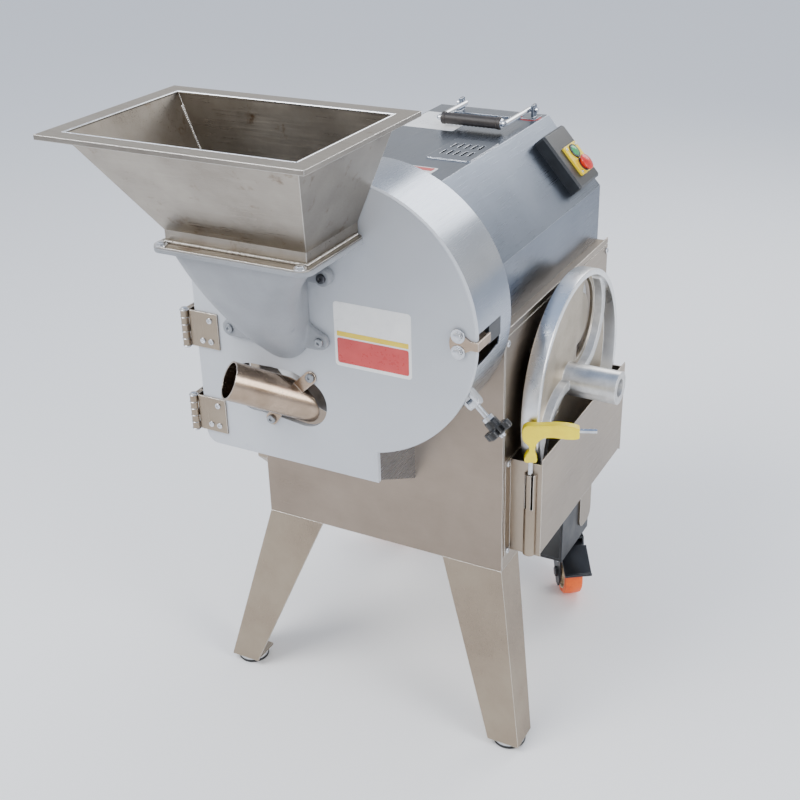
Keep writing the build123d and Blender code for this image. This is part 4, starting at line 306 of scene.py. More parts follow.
# The hood's right slope, which carries the switch: its outward direction and the way down it
SLOPE_OUT = Vector((0.7498, 0, 0.6616))
SLOPE_DOWN = Vector((0.6616, 0, -0.7498))
# The swing bolt points down to the right; its star knob sits this far along from the eye
BOLT_EYE = (199.0, -95.0, 596.0)
BOLT_WAY = Vector((0.7193, 0, -0.6947))
# Each castor as it stands: swivel axis and the direction in which its wheel trails
CASTORS = {"left": ((-164.0, 383.0), 175.0), "right": ((164.0, 383.0), -56.0)}



# Modelling helpers


def begin(name, kind, **size):
    """Adds a primitive by operator, alone in the selection, its place applied to its mesh."""
    if bpy.context.object and bpy.context.object.mode != "OBJECT":
        bpy.ops.object.mode_set(mode="OBJECT")
    bpy.ops.object.select_all(action="DESELECT")
    getattr(bpy.ops.mesh, f"primitive_{kind}_add")(**size)
    piece = bpy.context.object
    piece.name = name
    piece.data.name = name
    bpy.ops.object.transform_apply(location=True, rotation=True, scale=True)
    return piece


def only(piece):
    """Makes one piece the whole selection."""
    if bpy.context.object and bpy.context.object.mode != "OBJECT":
        bpy.ops.object.mode_set(mode="OBJECT")
    bpy.ops.object.select_all(action="DESELECT")
    piece.select_set(True)
    bpy.context.view_layer.objects.active = piece


def select(piece, test, kind="faces"):
    """Opens a piece in edit mode with the faces, edges or vertices that pass a test selected."""
    only(piece)
    bpy.ops.object.mode_set(mode="EDIT")
    mode = {"faces": "FACE", "edges": "EDGE", "verts": "VERT"}[kind]
    bpy.ops.mesh.select_mode(type=mode)
    bpy.ops.mesh.select_all(action="DESELECT")
    mesh = bmesh.from_edit_mesh(piece.data)
    for element in getattr(mesh, kind):
        if test(element):
            element.select_set(True)
    mesh.select_flush_mode()
    bmesh.update_edit_mesh(piece.data)


def close(piece):
    """Leaves edit mode."""
    bpy.ops.object.mode_set(mode="OBJECT")
    return piece


def shaped(piece, kind, **settings):
    """Adds a modifier and applies it."""
    only(piece)
    modifier = piece.modifiers.new(kind.title(), kind)
    for name, value in settings.items():
        setattr(modifier, name, value)
    bpy.ops.object.modifier_apply(modifier=modifier.name)
    return piece


def moved(piece, matrix):
    """Moves or turns a piece's mesh."""
    only(piece)
    piece.matrix_world = matrix
    bpy.ops.object.transform_apply(location=True, rotation=True, scale=True)
    return piece


def frame_of(origin, normal, along):
    """Matrix with its origin at a place, Z along a normal and X along a direction."""
    up = Vector(normal).normalized()
    side = Vector(along)
    side = (side - up * side.dot(up)).normalized()
    front = up.cross(side)
    return Matrix.Translation(origin) @ Matrix((side, front, up)).transposed().to_4x4()


def joined(name, pieces):
    """Joins pieces into one."""
    only(pieces[0])
    for piece in pieces:
        piece.select_set(True)
    if len(pieces) > 1:
        bpy.ops.object.join()
    whole = bpy.context.object
    whole.name = name
    whole.data.name = name
    return whole


def settled(piece, body, material, stands_for=(), angle=35):
    """Smooths a finished piece, gives it its material and lets it ride on its body."""
    only(piece)
    bpy.ops.object.shade_smooth_by_angle(angle=math.radians(angle))
    if material:
        piece.data.materials.clear()
        piece.data.materials.append(material)
    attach(piece, body)
    if stands_for:
        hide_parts(*stands_for)
    return piece


def way(x, y, z):
    """A direction or a distance in millimetres, as metres."""
    return Vector((x, y, z)) * MM


def turned(name, profile, steps=48):
    """Piece turned about Z from a profile of radius and height pairs in millimetres."""
    piece = begin(name, "plane", size=0.002)
    select(piece, lambda vert: True, "verts")
    bpy.ops.mesh.merge(type="CENTER")
    start = way(profile[0][0], 0, profile[0][1])
    bpy.ops.transform.translate(value=start)
    for before, after in zip(profile, profile[1:]):
        step = way(after[0] - before[0], 0, after[1] - before[1])
        bpy.ops.mesh.extrude_region_move(TRANSFORM_OT_translate={"value": step})
    bpy.ops.mesh.select_all(action="SELECT")
    bpy.ops.mesh.spin(steps=steps, angle=math.tau, center=(0, 0, 0), axis=(0, 0, 1))
    bpy.ops.mesh.select_all(action="SELECT")
    bpy.ops.mesh.remove_doubles(threshold=1e-6)
    bpy.ops.mesh.normals_make_consistent(inside=False)
    return close(piece)


def arc(centre, radius, start, end, count=7):
    """Profile points on an arc, its angles in degrees from the radius direction."""
    return [(centre[0] + radius * math.cos(math.radians(start + (end - start) * i / (count - 1))),
             centre[1] + radius * math.sin(math.radians(start + (end - start) * i / (count - 1))))
            for i in range(count)]


def block(name, size, corner=0.0, segments=3):
    """Block with its middle at the origin and its edges rounded, in millimetres."""
    piece = begin(name, "cube", size=1.0)
    moved(piece, Matrix.Diagonal((*(s * MM for s in size), 1)))
    if corner:
        shaped(piece, "BEVEL", width=corner * MM, segments=segments, limit_method="ANGLE")
    return piece


def cut(piece, tool):
    """Takes a tool's shape out of a piece."""
    shaped(piece, "BOOLEAN", object=tool, operation="DIFFERENCE", solver="EXACT")
    bpy.data.objects.remove(tool)
    return piece


def copy_of(name, node):
    """Copy of a CAD node's mesh with its doubled points merged, ready to be worked on."""
    piece = bpy.data.objects.new(name, NODES[node].data.copy())
    bpy.context.collection.objects.link(piece)
    piece.data.name = name
    select(piece, lambda vert: True, "verts")
    bpy.ops.mesh.remove_doubles(threshold=1e-5)
    return close(piece)


def softened(name, node, voxel, rounds):
    """Copy of a CAD node with all its corners run soft, as a casting or a moulding has them."""
    piece = copy_of(name, node)
    shaped(piece, "REMESH", mode="VOXEL", voxel_size=voxel * MM)
    return shaped(piece, "SMOOTH", factor=0.5, iterations=rounds)


def pan_screw(name, radius, rise):
    """Pan head with a rounded top and a cross recess, its seat at the origin."""
    shoulder = rise * 0.55
    head = turned(name, [(0, -0.6), (radius, -0.6), (radius, rise - shoulder)]
                  + arc((radius - shoulder, rise - shoulder), shoulder, 15, 90, 5) + [(0, rise)], 40)
    for turn in (0, 90):
        slot = block("recess", (radius * 1.15, radius * 0.28, rise))
        moved(slot, Matrix.Translation(way(0, 0, rise)) @ Matrix.Rotation(math.radians(turn), 4, "Z"))
        cut(head, slot)
    return head


def socket_screw(name, radius, rise, across):
    """Low cylinder head with a rounded edge and a hexagon socket, its seat at the origin."""
    head = turned(name, [(0, -0.6), (radius, -0.6), (radius, rise - 0.8), (radius - 0.3, rise - 0.25),
                         (radius - 0.9, rise), (0, rise)], 40)
    tool = begin("socket", "cylinder", vertices=6, radius=across * MM, depth=rise * MM,
                 location=(0, 0, rise * MM))
    return cut(head, tool)


def hex_bolt(name, radius, rise, washer=1.4):
    """Hexagon head with a turned chamfer on a flat washer, its seat at the origin."""
    head = begin(name, "cylinder", vertices=6, radius=radius * MM, depth=rise * MM,
                 location=(0, 0, (washer + rise / 2) * MM))
    dome = turned("dome", [(0, washer - 1), (radius * 1.2, washer - 1),
                           (radius * 1.2, washer + rise * 0.62), (radius * 0.82, washer + rise),
                           (0, washer + rise)], 36)
    shaped(head, "BOOLEAN", object=dome, operation="INTERSECT", solver="EXACT")
    bpy.data.objects.remove(dome)
    disc = turned(name + "_washer", [(0, -0.4), (radius * 1.5, -0.4), (radius * 1.5, washer - 0.4),
                                     (radius * 1.45, washer), (0, washer)], 40)
    return joined(name, [head, disc])


def bead(name, start, end, radius, pitch=2.6):
    """Weld bead between two places: a row of overlapping drops."""
    line = end - start
    count = max(2, round(line.length / (pitch * MM)))
    drop = begin(name, "uv_sphere", segments=10, ring_count=6, radius=radius * MM, location=start)
    return shaped(drop, "ARRAY", count=count + 1, use_relative_offset=False,
                  use_constant_offset=True, constant_offset_displace=line / count)


def sticker(name, size, corner, matrix, material, body):
    """Vinyl sticker with rounded corners lying on a face."""
    film = begin(name, "plane", size=1.0)
    moved(film, Matrix.Diagonal((size[0] * MM, size[1] * MM, 1, 1)))
    select(film, lambda vert: True, "verts")
    bpy.ops.mesh.bevel(offset=corner * MM, segments=8, affect="VERTICES")
    close(film)
    shaped(film, "SOLIDIFY", thickness=look().sticker_thickness, offset=1.0)
    moved(film, matrix)
    return settled(film, body, material)


def islands(node):
    """Lowest and highest corner of each separate solid of a CAD node."""
    mesh = bmesh.new()
    mesh.from_mesh(NODES[node].data)
    bmesh.ops.remove_doubles(mesh, verts=mesh.verts, dist=1e-6)
    corners, seen = [], set()
    for seed in mesh.verts:
        if seed in seen:
            continue
        seen.add(seed)
        group, waiting = [], [seed]
        while waiting:
            vert = waiting.pop()
            group.append(vert.co)
            for edge in vert.link_edges:
                other = edge.other_vert(vert)
                if other not in seen:
                    seen.add(other)
                    waiting.append(other)
        corners.append(tuple(Vector(pick(co[axis] for co in group) for axis in range(3))
                             for pick in (min, max)))
    mesh.free()
    return corners


class SlicerLook(bpy.types.PropertyGroup):
    """Sizes and colours that a user would change."""
    sticker_thickness: bpy.props.FloatProperty(
        name="Sticker thickness", description="Thickness of the vinyl stickers",
        default=0.0003, unit="LENGTH")
    floor_colour: bpy.props.FloatVectorProperty(
        name="Floor", description="Colour of the studio floor", subtype="COLOR",
        size=3, default=(0.97, 0.965, 0.955), min=0.0, max=1.0)
    key_power: bpy.props.FloatProperty(
        name="Key light", description="Power of the large light over the machine",
        default=75.0, unit="POWER")


def look():
    """The scene's settings."""
    return bpy.context.scene.slicer_look


class SLICER_OT_finishes(bpy.types.Operator):
    """Give every CAD node its material"""
    bl_idname = "slicer.finishes"
    bl_label = "Node finishes"

    def execute(self, context):
        for name, node in NODES.items():
            material = NODE_FINISH[name]
            node.data.materials.clear()
            node.data.materials.append(material)
        return {"FINISHED"}


class SLICER_OT_screws(bpy.types.Operator):
    """Cross-recessed screws of the panels and the hinges, socket screws of the casting and tube"""
    bl_idname = "slicer.screws"
    bl_label = "Screws"

    def execute(self, context):
        random.seed(7)
        for node, body, radius, rise, slot in (
                ("panel_screws", "machine", 5.0, 2.6, "zinc_steel"),
                ("hinge_screws", "door", 4.5, 2.0, "zinc_steel")):
            heads = []
            for low, high in islands(node):
                middle = (low + high) / 2
                size = high - low
                thin = min(range(3), key=lambda i: size[i])
                out = Vector((0, 0, 0))
                out[thin] = {0: 1, 1: 1 if middle.y > 0 else -1, 2: 1}[thin]
                seat = middle - out * size[thin] / 2
                spin = random.uniform(0, 90)
                along = Matrix.Rotation(math.radians(spin), 3, out) @ Vector((0, 0, 1))
                head = pan_screw("head", radius, rise)
                heads.append(moved(head, frame_of(seat, out, along)))
            settled(joined(node + "_crossed", heads), body, ZINC, (node,))
        heads = []
        for low, high in islands("socket_screws"):
            middle = (low + high) / 2
            seat = Vector((middle.x, high.y, middle.z))
            spin = random.uniform(0, 60)
            along = (math.cos(math.radians(spin)), 0, math.sin(math.radians(spin)))
            head = socket_screw("head", 6.5, 3.6, 2.9)
            heads.append(moved(head, frame_of(seat, (0, -1, 0), along)))
        top = max(heads, key=lambda head: head.bound_box[1][2])
        heads.remove(top)
        settled(joined("socket_screws_low", heads), "door", ZINC_DULL,
                ("socket_screws",))
        top.name = top.data.name = "socket_screw_boss"
        settled(top, "door", BLACK_OXIDE)
        return {"FINISHED"}


class SLICER_OT_bolts(bpy.types.Operator):
    """Hexagon bolts with washers on the hopper's flange and on the door catch"""
    bl_idname = "slicer.bolts"
    bl_label = "Bolts"

    def execute(self, context):
        heads = []
        for low, high in islands("door_bolts"):
            middle = (low + high) / 2
            size = high - low
            up = size.z < size.x and size.z < size.y
            out = Vector((0, 0, 1)) if up else Vector((0, -1, 0))
            seat = Vector((middle.x, middle.y, low.z)) if up else Vector((middle.x, high.y, middle.z))
            radius, rise = (5.5, 3.3) if up else (6.5, 4.0)
            head = hex_bolt("head", radius, rise)
            heads.append(moved(head, frame_of(seat, out, (1, 0.3, 0.4))))
        settled(joined("hexagon_bolts", heads), "door", ZINC, ("door_bolts",))
        retainer = hex_bolt("disc_retaining_bolt", 9, 7, 3)
        low, high, middle, size = low_high("disc_bolt")
        moved(retainer, frame_of(Vector((middle.x, high.y, middle.z)), (0, -1, 0), (1, 0, 0)))
        settled(retainer, "spindle", ZINC, ("disc_bolt",))
        return {"FINISHED"}


class SLICER_OT_star_knob(bpy.types.Operator):
    """Four-lobed clamping knob on a long hub with a bright collar"""
    bl_idname = "slicer.star_knob"
    bl_label = "Star knob"

    def execute(self, context):
        hub = turned("hub", [(4.3, 0), (8.6, 0), (9.4, 1.5), (9.8, 12), (9.8, 20), (9.0, 22.5),
                             (6.5, 24), (4.3, 24), (4.3, 0)])
        parts = [hub]
        for turn in (0, 90, 180, 270):
            spin = Matrix.Rotation(math.radians(turn), 4, "Z")
            lobe = turned("lobe", [(0, 11.5), (5.6, 11.5), (6.9, 13), (6.9, 21.5), (5.6, 23), (0, 23)])
            parts.append(moved(lobe, spin @ Matrix.Translation(way(15, 0, 0))))
            arm = block("arm", (14, 11.4, 11))
            parts.append(moved(arm, spin @ Matrix.Translation(way(8, 0, 17.2))))
        knob = joined("star_knob_moulded", parts)
        shaped(knob, "REMESH", mode="VOXEL", voxel_size=0.5 * MM)
        shaped(knob, "SMOOTH", factor=0.5, iterations=6)
        seat = frame_of(at(*BOLT_EYE) + BOLT_WAY * 30 * MM, BOLT_WAY, (BOLT_WAY.z, 0, -BOLT_WAY.x))
        moved(knob, seat)
        settled(knob, "star_knob", BAKELITE, ("star_knob",), 60)
        collar = turned("star_knob_collar", [(4.2, -6), (7.4, -6), (8.0, -5.2), (8.0, 0.8), (7.4, 1.4),
                                             (4.2, 1.4), (4.2, -6)])
        moved(collar, seat)
        settled(collar, "star_knob", CHROME)
        cap = turned("star_knob_insert", [(4.2, 23.6), (5.6, 23.6), (6.0, 24.1), (5.6, 24.6), (4.2, 24.6)])
        moved(cap, seat)
        settled(cap, "star_knob", ZINC)
        return {"FINISHED"}


class SLICER_OT_key_grip(bpy.types.Operator):
    """Moulded T-shaped grip of the hexagon key"""
    bl_idname = "slicer.key_grip"
    bl_label = "Key grip"

    def execute(self, context):
        grip = softened("hex_key_grip_moulded", "hex_key_grip", 0.7, 14)
        settled(grip, "hex_key", NYLON_YELLOW, ("hex_key_grip",), 80)
        return {"FINISHED"}


class SLICER_OT_handle_grip(bpy.types.Operator):
    """Sleeve of the folding handle with a raised ring at each end and fine ribs between"""
    bl_idname = "slicer.handle_grip"
    bl_label = "Handle grip"

    def execute(self, context):
        half = 48.0
        profile = [(4.1, -half), (8.2, -half), (9.4, -half + 1), (9.4, -half + 5), (8.6, -half + 6)]
        steps = 26
        for i in range(steps):
            z = -half + 7 + (2 * half - 14) * i / (steps - 1)
            profile += [(8.9 if i % 2 else 8.3, z)]
        profile += [(8.6, half - 6), (9.4, half - 5), (9.4, half - 1), (8.2, half), (4.1, half),
                    (4.1, -half)]
        grip = turned("handle_grip_ribbed", profile)
        low, high, middle, size = low_high("bail_grip")
        moved(grip, frame_of(middle, (1, 0, 0), (0, 0, 1)))
        settled(grip, "handle", GRIP, ("bail_grip",), 30)
        washers = []
        for side in (-1, 1):
            washer = turned("washer", [(4.1, 0), (7.2, 0), (7.6, 0.6), (7.2, 1.2), (4.1, 1.2), (4.1, 0)])
            place = middle + way(side * (half + 0.7) - 0.6, 0, 0)
            washers.append(moved(washer, frame_of(place, (1, 0, 0), (0, 0, 1))))
        settled(joined("handle_grip_washers", washers), "handle", CHROME)
        return {"FINISHED"}


class SLICER_OT_buttons(bpy.types.Operator):
    """Domed start button and red mushroom stop button with their collars on the yellow face"""
    bl_idname = "slicer.buttons"
    bl_label = "Buttons"

    def execute(self, context):
        def seat(along):
            ridge = at(92, 358, 840)
            return frame_of(ridge + SLOPE_DOWN * along * MM + SLOPE_OUT * 23.3 * MM,
                            SLOPE_OUT, (0, 1, 0))
        start = turned("start_button_domed", [(0, 0), (8.8, 0), (9.0, 0.4), (9.0, 3.0)]
                       + arc((0, -10.6), 16.3, 56, 90, 7))
        moved(start, seat(70))
        settled(start, "start_button", LENS_GREEN, ("start_button",), 50)
        stop = turned("stop_button_mushroom", [(0, 0), (8.6, 0), (8.8, 4.7), (11.8, 5.0), (12.8, 5.9),
                                               (13.0, 7.4), (12.5, 8.9)]
                      + arc((0, -14.0), 26.1, 62, 90, 8))
        moved(stop, seat(94))
        settled(stop, "stop_button", STOP_RED, ("stop_button",), 50)
        collars = []
        for along, outer, rise in ((70, 11.6, 2.3), (94, 11.4, 0.9)):
            inner = 9.3
            collar = turned("collar", [(inner, 0), (outer, 0), (outer, rise - 0.5),
                                       (outer - 0.5, rise), (inner, rise), (inner, 0)])
            place = seat(along) @ Matrix.Translation(way(0, 0, 0.7))
            collars.append(moved(collar, place))
        settled(joined("button_collars", collars), "hood", ABS_BLACK)
        screws = []
        for across, down in ((-18, -20), (18, -20), (-18, 20), (18, 20)):
            place = (at(92, 358 + across, 840) + SLOPE_DOWN * (82 + down) * MM
                     + SLOPE_OUT * 24.0 * MM)
            screws.append(moved(pan_screw("screw", 2.4, 1.2), frame_of(place, SLOPE_OUT, (0, 1, 0.3))))
        settled(joined("switch_face_screws", screws), "hood", ZINC)
        return {"FINISHED"}


class SLICER_OT_castors(bpy.types.Operator):
    """Castor wheels with a cast tread on a webbed hub, ball races, rivets and pressed pedals"""
    bl_idname = "slicer.castors"
    bl_label = "Castors"

    def execute(self, context):
        for side, ((x, y), trail) in CASTORS.items():
            turn = math.radians(trail)
            back = Vector((math.cos(turn), math.sin(turn), 0))
            axle = Vector((back.y, -back.x, 0))
            centre = at(x, y, 41) + back * 21 * MM
            seat = frame_of(centre, axle, (0, 0, 1))
            tread = turned("castor_tread_" + side, [(31, -15.8), (37, -15.8), (38.6, -14.6)]
                           + arc((-22, 0), 63, -13, 13, 9)
                           + [(38.6, 14.6), (37, 15.8), (31, 15.8), (31, -15.8)], 72)
            moved(tread, seat)
            settled(tread, f"castor_wheel_{side}", TREAD, (f"castor_wheel_{side}",), 40)
            hub = turned("castor_hub_" + side, [(6.1, -15.8), (13, -15.8), (13.6, -15), (14.5, -10),
                                                (27, -8), (29, -15), (30.9, -15.6), (30.9, 15.6),
                                                (29, 15), (27, 8), (14.5, 10), (13.6, 15), (13, 15.8),
                                                (6.1, 15.8), (6.1, -15.8)], 60)
            ribs = [hub]
            for i in range(8):
                rib = block("rib", (15, 2.2, 27), 0.6, 2)
                spin = Matrix.Rotation(math.tau * i / 8, 4, "Z") @ Matrix.Translation(way(21, 0, 0))
                ribs.append(moved(rib, spin))
            hub = joined("castor_hub_" + side, ribs)
            moved(hub, seat)
            settled(hub, f"castor_wheel_{side}", HUB)
            pedal = copy_of("castor_pedal_" + side, f"castor_brake_{side}")
            shaped(pedal, "BEVEL", width=0.9 * MM, segments=3, limit_method="ANGLE",
                   angle_limit=math.radians(25))
            settled(pedal, f"castor_brake_{side}", BLACK_COAT_AND_SHADE,
                    (f"castor_brake_{side}",), 40)
            race = turned("castor_race_" + side, [(9, 0), (24, 0), (25.6, -1.5), (26.4, -5), (25.6, -8.5),
                                                  (22, -10), (9, -10), (9, 0)])
            moved(race, Matrix.Translation(at(x, y, 125.6)))
            settled(race, f"castor_{side}", ZINC)
            rivets = []
            for cheek in (-1, 1):
                for ahead, height, radius in ((18, 98, 4.4), (4, 70, 3.6), (24, 66, 3.6)):
                    rivet = turned("rivet", [(0, -0.4), (radius, -0.4), (radius, 0.5)]
                                   + arc((0, -radius * 0.6), radius * 1.35, 45, 90, 5), 24)
                    place = at(x, y, height) + back * ahead * MM + axle * cheek * 21.5 * MM
                    rivets.append(moved(rivet, frame_of(place, axle * cheek, (0, 0, 1))))
            settled(joined("castor_rivets_" + side, rivets), f"castor_{side}", ZINC)
        return {"FINISHED"}


class SLICER_OT_casting(bpy.types.Operator):
    """The sand-cast chute with its corners run soft, and its mark-free enamel, darker than the door's as
    painted shade
    """
    bl_idname = "slicer.casting"
    bl_label = "Cast chute"

    def execute(self, context):
        casting = softened("cast_chute_filleted", "cast_chute", 1.5, 5)
        settled(casting, "door", ENAMEL_CAST_SHADED, ("cast_chute",), 70)
        return {"FINISHED"}


class SLICER_OT_welds(bpy.types.Operator):
    """Weld beads in the hopper's corners and round its neck"""
    bl_idname = "slicer.welds"
    bl_label = "Weld beads"

    def execute(self, context):
        beads = []
        for x, neck_x in ((-188.5, -153.5), (81.5, 46.5)):
            for y, neck_y in ((-308.5, -235.5), (-135.5, -118.5)):
                beads.append(bead("seam", at(neck_x, neck_y, 829), at(x, y, 951), 1.7))
        corners = [(-157.5, -239.5), (50.5, -239.5), (50.5, -122), (-157.5, -122)]
        for start, end in zip(corners[:2], corners[1:3]):
            beads.append(bead("foot", at(*start, 810.5), at(*end, 810.5), 2.2))
        beads.append(bead("foot", at(*corners[3], 810.5), at(*corners[0], 810.5), 2.2))
        settled(joined("hopper_welds", beads), "door", WELD)
        return {"FINISHED"}


class SLICER_OT_rolled_edges(bpy.types.Operator):
    """Rolled outer edge of the hopper's rim"""
    bl_idname = "slicer.rolled_edges"
    bl_label = "Rolled edges"

    def execute(self, context):
        parts = []
        corners = [(-211, -331), (104, -331), (104, -113), (-211, -113)]
        for (x0, y0), (x1, y1) in zip(corners, corners[1:] + corners[:1]):
            start, end = at(x0, y0, 963), at(x1, y1, 963)
            rod = begin("rod", "cylinder", vertices=20, radius=1.5 * MM, depth=(end - start).length)
            moved(rod, frame_of((start + end) / 2, end - start, (0, 0, 1)))
            ball = begin("ball", "uv_sphere", segments=20, ring_count=10, radius=1.5 * MM,
                         location=start)
            parts += [rod, ball]
        settled(joined("hopper_rolled_rim", parts), "door", EDGE_STEEL)
        return {"FINISHED"}


class SLICER_OT_feet(bpy.types.Operator):
    """Levelling pads: a rubber sole under a pressed steel cup"""
    bl_idname = "slicer.feet"
    bl_label = "Foot pads"

    def execute(self, context):
        soles, cups = [], []
        for low, high in islands("foot_pads"):
            middle = (low + high) / 2
            place = Matrix.Translation(Vector((middle.x, middle.y, low.z)))
            sole = turned("sole", [(0, 0), (22.5, 0), (24.2, 0.8), (25, 2.4), (25, 4.2), (23.4, 5.2),
                                   (0, 5.2)])
            soles.append(moved(sole, place))
            cup = turned("cup", [(0, 5.0), (23.8, 5.0), (23.8, 6.4), (22.4, 8.4), (18, 9.7), (9, 10),
                                 (0, 10)])
            cups.append(moved(cup, place))
        settled(joined("foot_soles", soles), "machine", RUBBER, ("foot_pads",))
        settled(joined("foot_cups", cups), "machine", ZINC)
        return {"FINISHED"}


class SLICER_OT_hinges(bpy.types.Operator):
    """Rings between the hinge knuckles and rounded ends on the pins"""
    bl_idname = "slicer.hinges"
    bl_label = "Hinges"

    def execute(self, context):
        rings = []
        for middle in (631.0, 498.0):
            for i in range(6):
                z = middle + (i - 2.5) * 54 / 5
                ring = turned("ring", [(3.2, -0.5), (6.4, -0.5), (6.9, 0), (6.4, 0.5), (3.2, 0.5),
                                       (3.2, -0.5)], 32)
                rings.append(moved(ring, Matrix.Translation(at(-237, -116.5, z))))
            for end in (-1, 1):
                cap = turned("cap", [(0, 0), (5.2, 0), (5.2, 1.4), (4.4, 2.6), (2.4, 3.3), (0, 3.5)], 32)
                place = Matrix.Translation(at(-237, -116.5, middle + end * 27.4))
                flip = Matrix.Rotation(math.pi if end < 0 else 0, 4, "X")
                rings.append(moved(cap, place @ flip))
        settled(joined("hinge_rings", rings), "machine", ZINC)
        return {"FINISHED"}


class SLICER_OT_spare_disc(bpy.types.Operator):
    """Cutting discs with turned rims and hubs on a cast web"""
    bl_idname = "slicer.spare_disc"
    bl_label = "Discs"

    def execute(self, context):
        for node, body, across in (("spare_disc", "spare_disc", 0), ("cutter_disc", "spindle", 1)):
            low, high, middle, size = low_high(node)
            disc = copy_of(node + "_machined", node)
            shaped(disc, "BEVEL", width=0.8 * MM, segments=2, limit_method="ANGLE",
                   angle_limit=math.radians(40))
            only(disc)
            disc.data.materials.clear()
            for material in (CAST_ALUMINIUM, TURNED_SPARE if across == 0 else TURNED_CUTTER,
                             BRIGHT_ALUMINIUM):
                disc.data.materials.append(material)
            thickness = 25 * MM
            for face in disc.data.polygons:
                place = face.center - middle
                radius = math.hypot(place.y if across == 0 else place.x, place.z)
                depth = (face.center[across] - (low if across == 0 else high)[across])
                depth = depth if across == 0 else -depth
                if radius > 157 * MM:
                    face.material_index = 1
                elif depth > 7 * MM:
                    face.material_index = 2
            settled(disc, body, None, (node,), 30)
        return {"FINISHED"}


class SLICER_OT_stickers(bpy.types.Operator):
    """Plain stickers with colour bands where the machine carries its labels"""
    bl_idname = "slicer.stickers"
    bl_label = "Stickers"

    def execute(self, context):
        level = (1, 0, 0)
        door = lambda x, z, lift: frame_of(at(x, -113 - lift, z), (0, -1, 0), level)
        sticker("door_sticker", (114, 92), 5, door(62, 665, 0), VINYL_WHITE, "door")
        sticker("door_sticker_red", (106, 36), 3, door(62, 642, 0.3), VINYL_RED, "door")
        sticker("door_sticker_yellow", (106, 7), 1, door(62, 666, 0.3), VINYL_YELLOW, "door")
        top = lambda x, y, lift: frame_of(at(x, y, 840 + lift), (0, 0, 1), level)
        sticker("hood_sticker", (87, 94), 3, top(-46.5, 313, 0), VINYL_WHITE, "hood")
        sticker("hood_label", (60, 46), 3, top(34, 60, 0), VINYL_WHITE, "hood")
        sticker("hood_label_red", (52, 12), 1, top(34, 74, 0.3), VINYL_RED, "hood")
        sticker("hood_oval", (34, 34), 16, top(74, 382, 0), VINYL_RED, "hood")
        return {"FINISHED"}


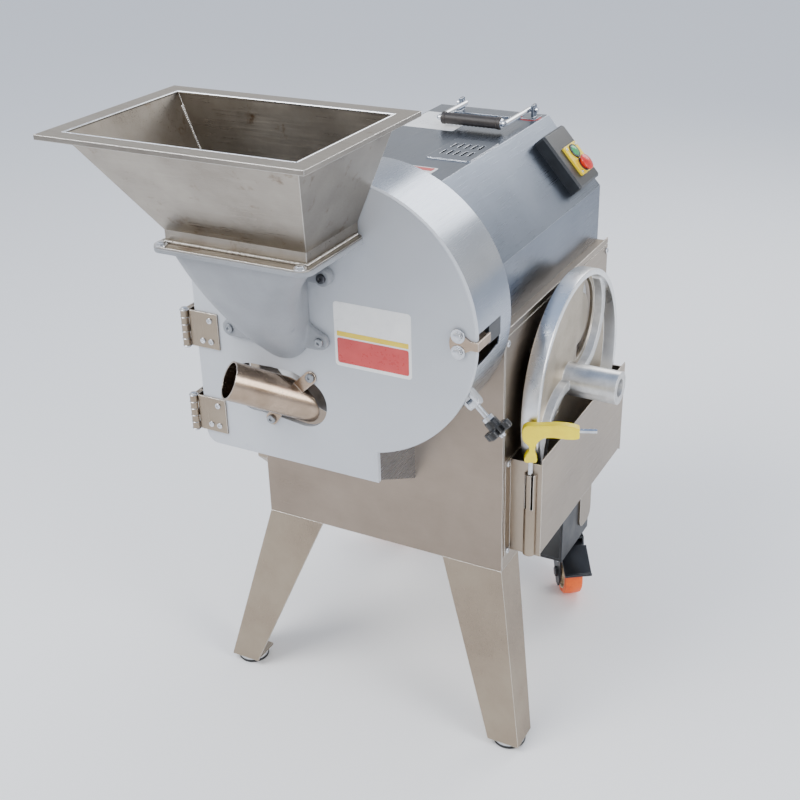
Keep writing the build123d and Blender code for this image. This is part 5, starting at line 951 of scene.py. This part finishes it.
class SLICER_OT_stage(bpy.types.Operator):
    """Set the floor, the soft lights, the sky and the camera"""
    bl_idname = "slicer.stage"
    bl_label = "Studio"

    def execute(self, context):
        settings = look()
        floor = begin("studio_floor", "plane", size=80.0, location=(0, 0, -0.0005))
        paint = bpy.data.materials.new("studio_floor_paint")
        paint.use_nodes = True
        shine = paint.node_tree.nodes["Principled BSDF"]
        shine.inputs["Base Color"].default_value = (*settings.floor_colour, 1)
        shine.inputs["Roughness"].default_value = 0.8
        floor.data.materials.append(paint)
        world = bpy.data.worlds.new("studio_air")
        bpy.context.scene.world = world
        world.use_nodes = True
        tree = world.node_tree
        sky = put(tree, "ShaderNodeTexCoord").outputs["Generated"]
        height = put(tree, "ShaderNodeSeparateXYZ", {"Vector": sky}).outputs["Z"]
        shade = put(tree, "ShaderNodeValToRGB", {"Fac": height},
                    stops=[(0.0, linear("#F6F1EA")), (0.22, linear("#EEEDEB")),
                           (1.0, linear("#9FB4D6"))]).outputs["Color"]
        air = tree.nodes["Background"]
        tree.links.new(shade, air.inputs["Color"])
        air.inputs["Strength"].default_value = 1.3
        for name, place, size, power in (
                ("key_light", (-1.2, -1.6, 2.6), 2.0, settings.key_power),
                ("side_light", (2.4, -0.4, 1.6), 1.4, settings.key_power * 0.5),
                ("back_light", (0.4, 2.4, 2.2), 1.6, settings.key_power * 0.4)):
            bpy.ops.object.select_all(action="DESELECT")
            bpy.ops.object.light_add(type="AREA", location=place)
            light = bpy.context.object
            light.name = name
            light.data.shape = "DISK"
            light.data.size = size
            light.data.energy = power
            aim = Vector((0, 0, 0.5)) - Vector(place)
            light.rotation_euler = aim.to_track_quat("-Z", "Y").to_euler()
        yaw, pitch, roll = math.radians(28.41), math.radians(26.95), math.radians(-1.54)
        ahead = Vector((-math.sin(yaw) * math.cos(pitch), math.cos(yaw) * math.cos(pitch),
                        -math.sin(pitch)))
        right = Vector((math.cos(yaw), math.sin(yaw), 0))
        up = right.cross(ahead)
        across = right * math.cos(roll) + up * math.sin(roll)
        upward = up * math.cos(roll) - right * math.sin(roll)
        bpy.ops.object.select_all(action="DESELECT")
        bpy.ops.object.camera_add(location=(0, 0, 0))
        camera = bpy.context.object
        camera.name = "photo_camera"
        turn = Matrix((across, upward, -ahead)).transposed().to_4x4()
        camera.matrix_world = Matrix.Translation(at(790.7, -1389.3, 1324.2)) @ turn
        camera.data.sensor_width = 36.0
        camera.data.sensor_fit = "HORIZONTAL"
        camera.data.lens = 55.84
        bpy.context.scene.camera = camera
        return {"FINISHED"}


class SLICER_PT_panel(bpy.types.Panel):
    """Slicer tools"""
    bl_label = "Slicer"
    bl_idname = "SLICER_PT_panel"
    bl_space_type = "VIEW_3D"
    bl_region_type = "UI"
    bl_category = "Slicer"

    def draw(self, context):
        settings = context.scene.slicer_look
        for name in SlicerLook.__annotations__:
            self.layout.prop(settings, name)
        for tool in OPERATORS:
            self.layout.operator(tool.bl_idname)


OPERATORS = (SLICER_OT_finishes, SLICER_OT_screws, SLICER_OT_bolts, SLICER_OT_star_knob,
             SLICER_OT_key_grip, SLICER_OT_handle_grip, SLICER_OT_buttons, SLICER_OT_castors,
             SLICER_OT_casting, SLICER_OT_welds, SLICER_OT_rolled_edges, SLICER_OT_feet,
             SLICER_OT_hinges, SLICER_OT_spare_disc, SLICER_OT_stickers,
             SLICER_OT_stage)
CLASSES = (SlicerLook,) + OPERATORS + (SLICER_PT_panel,)


def register():
    for item in CLASSES:
        bpy.utils.register_class(item)
    bpy.types.Scene.slicer_look = bpy.props.PointerProperty(type=SlicerLook)


def unregister():
    del bpy.types.Scene.slicer_look
    for item in reversed(CLASSES):
        bpy.utils.unregister_class(item)


def main():
    register()
    for tool in OPERATORS:
        group, name = tool.bl_idname.split(".")
        getattr(getattr(bpy.ops, group), name)()


if __name__ == "__main__":
    main()
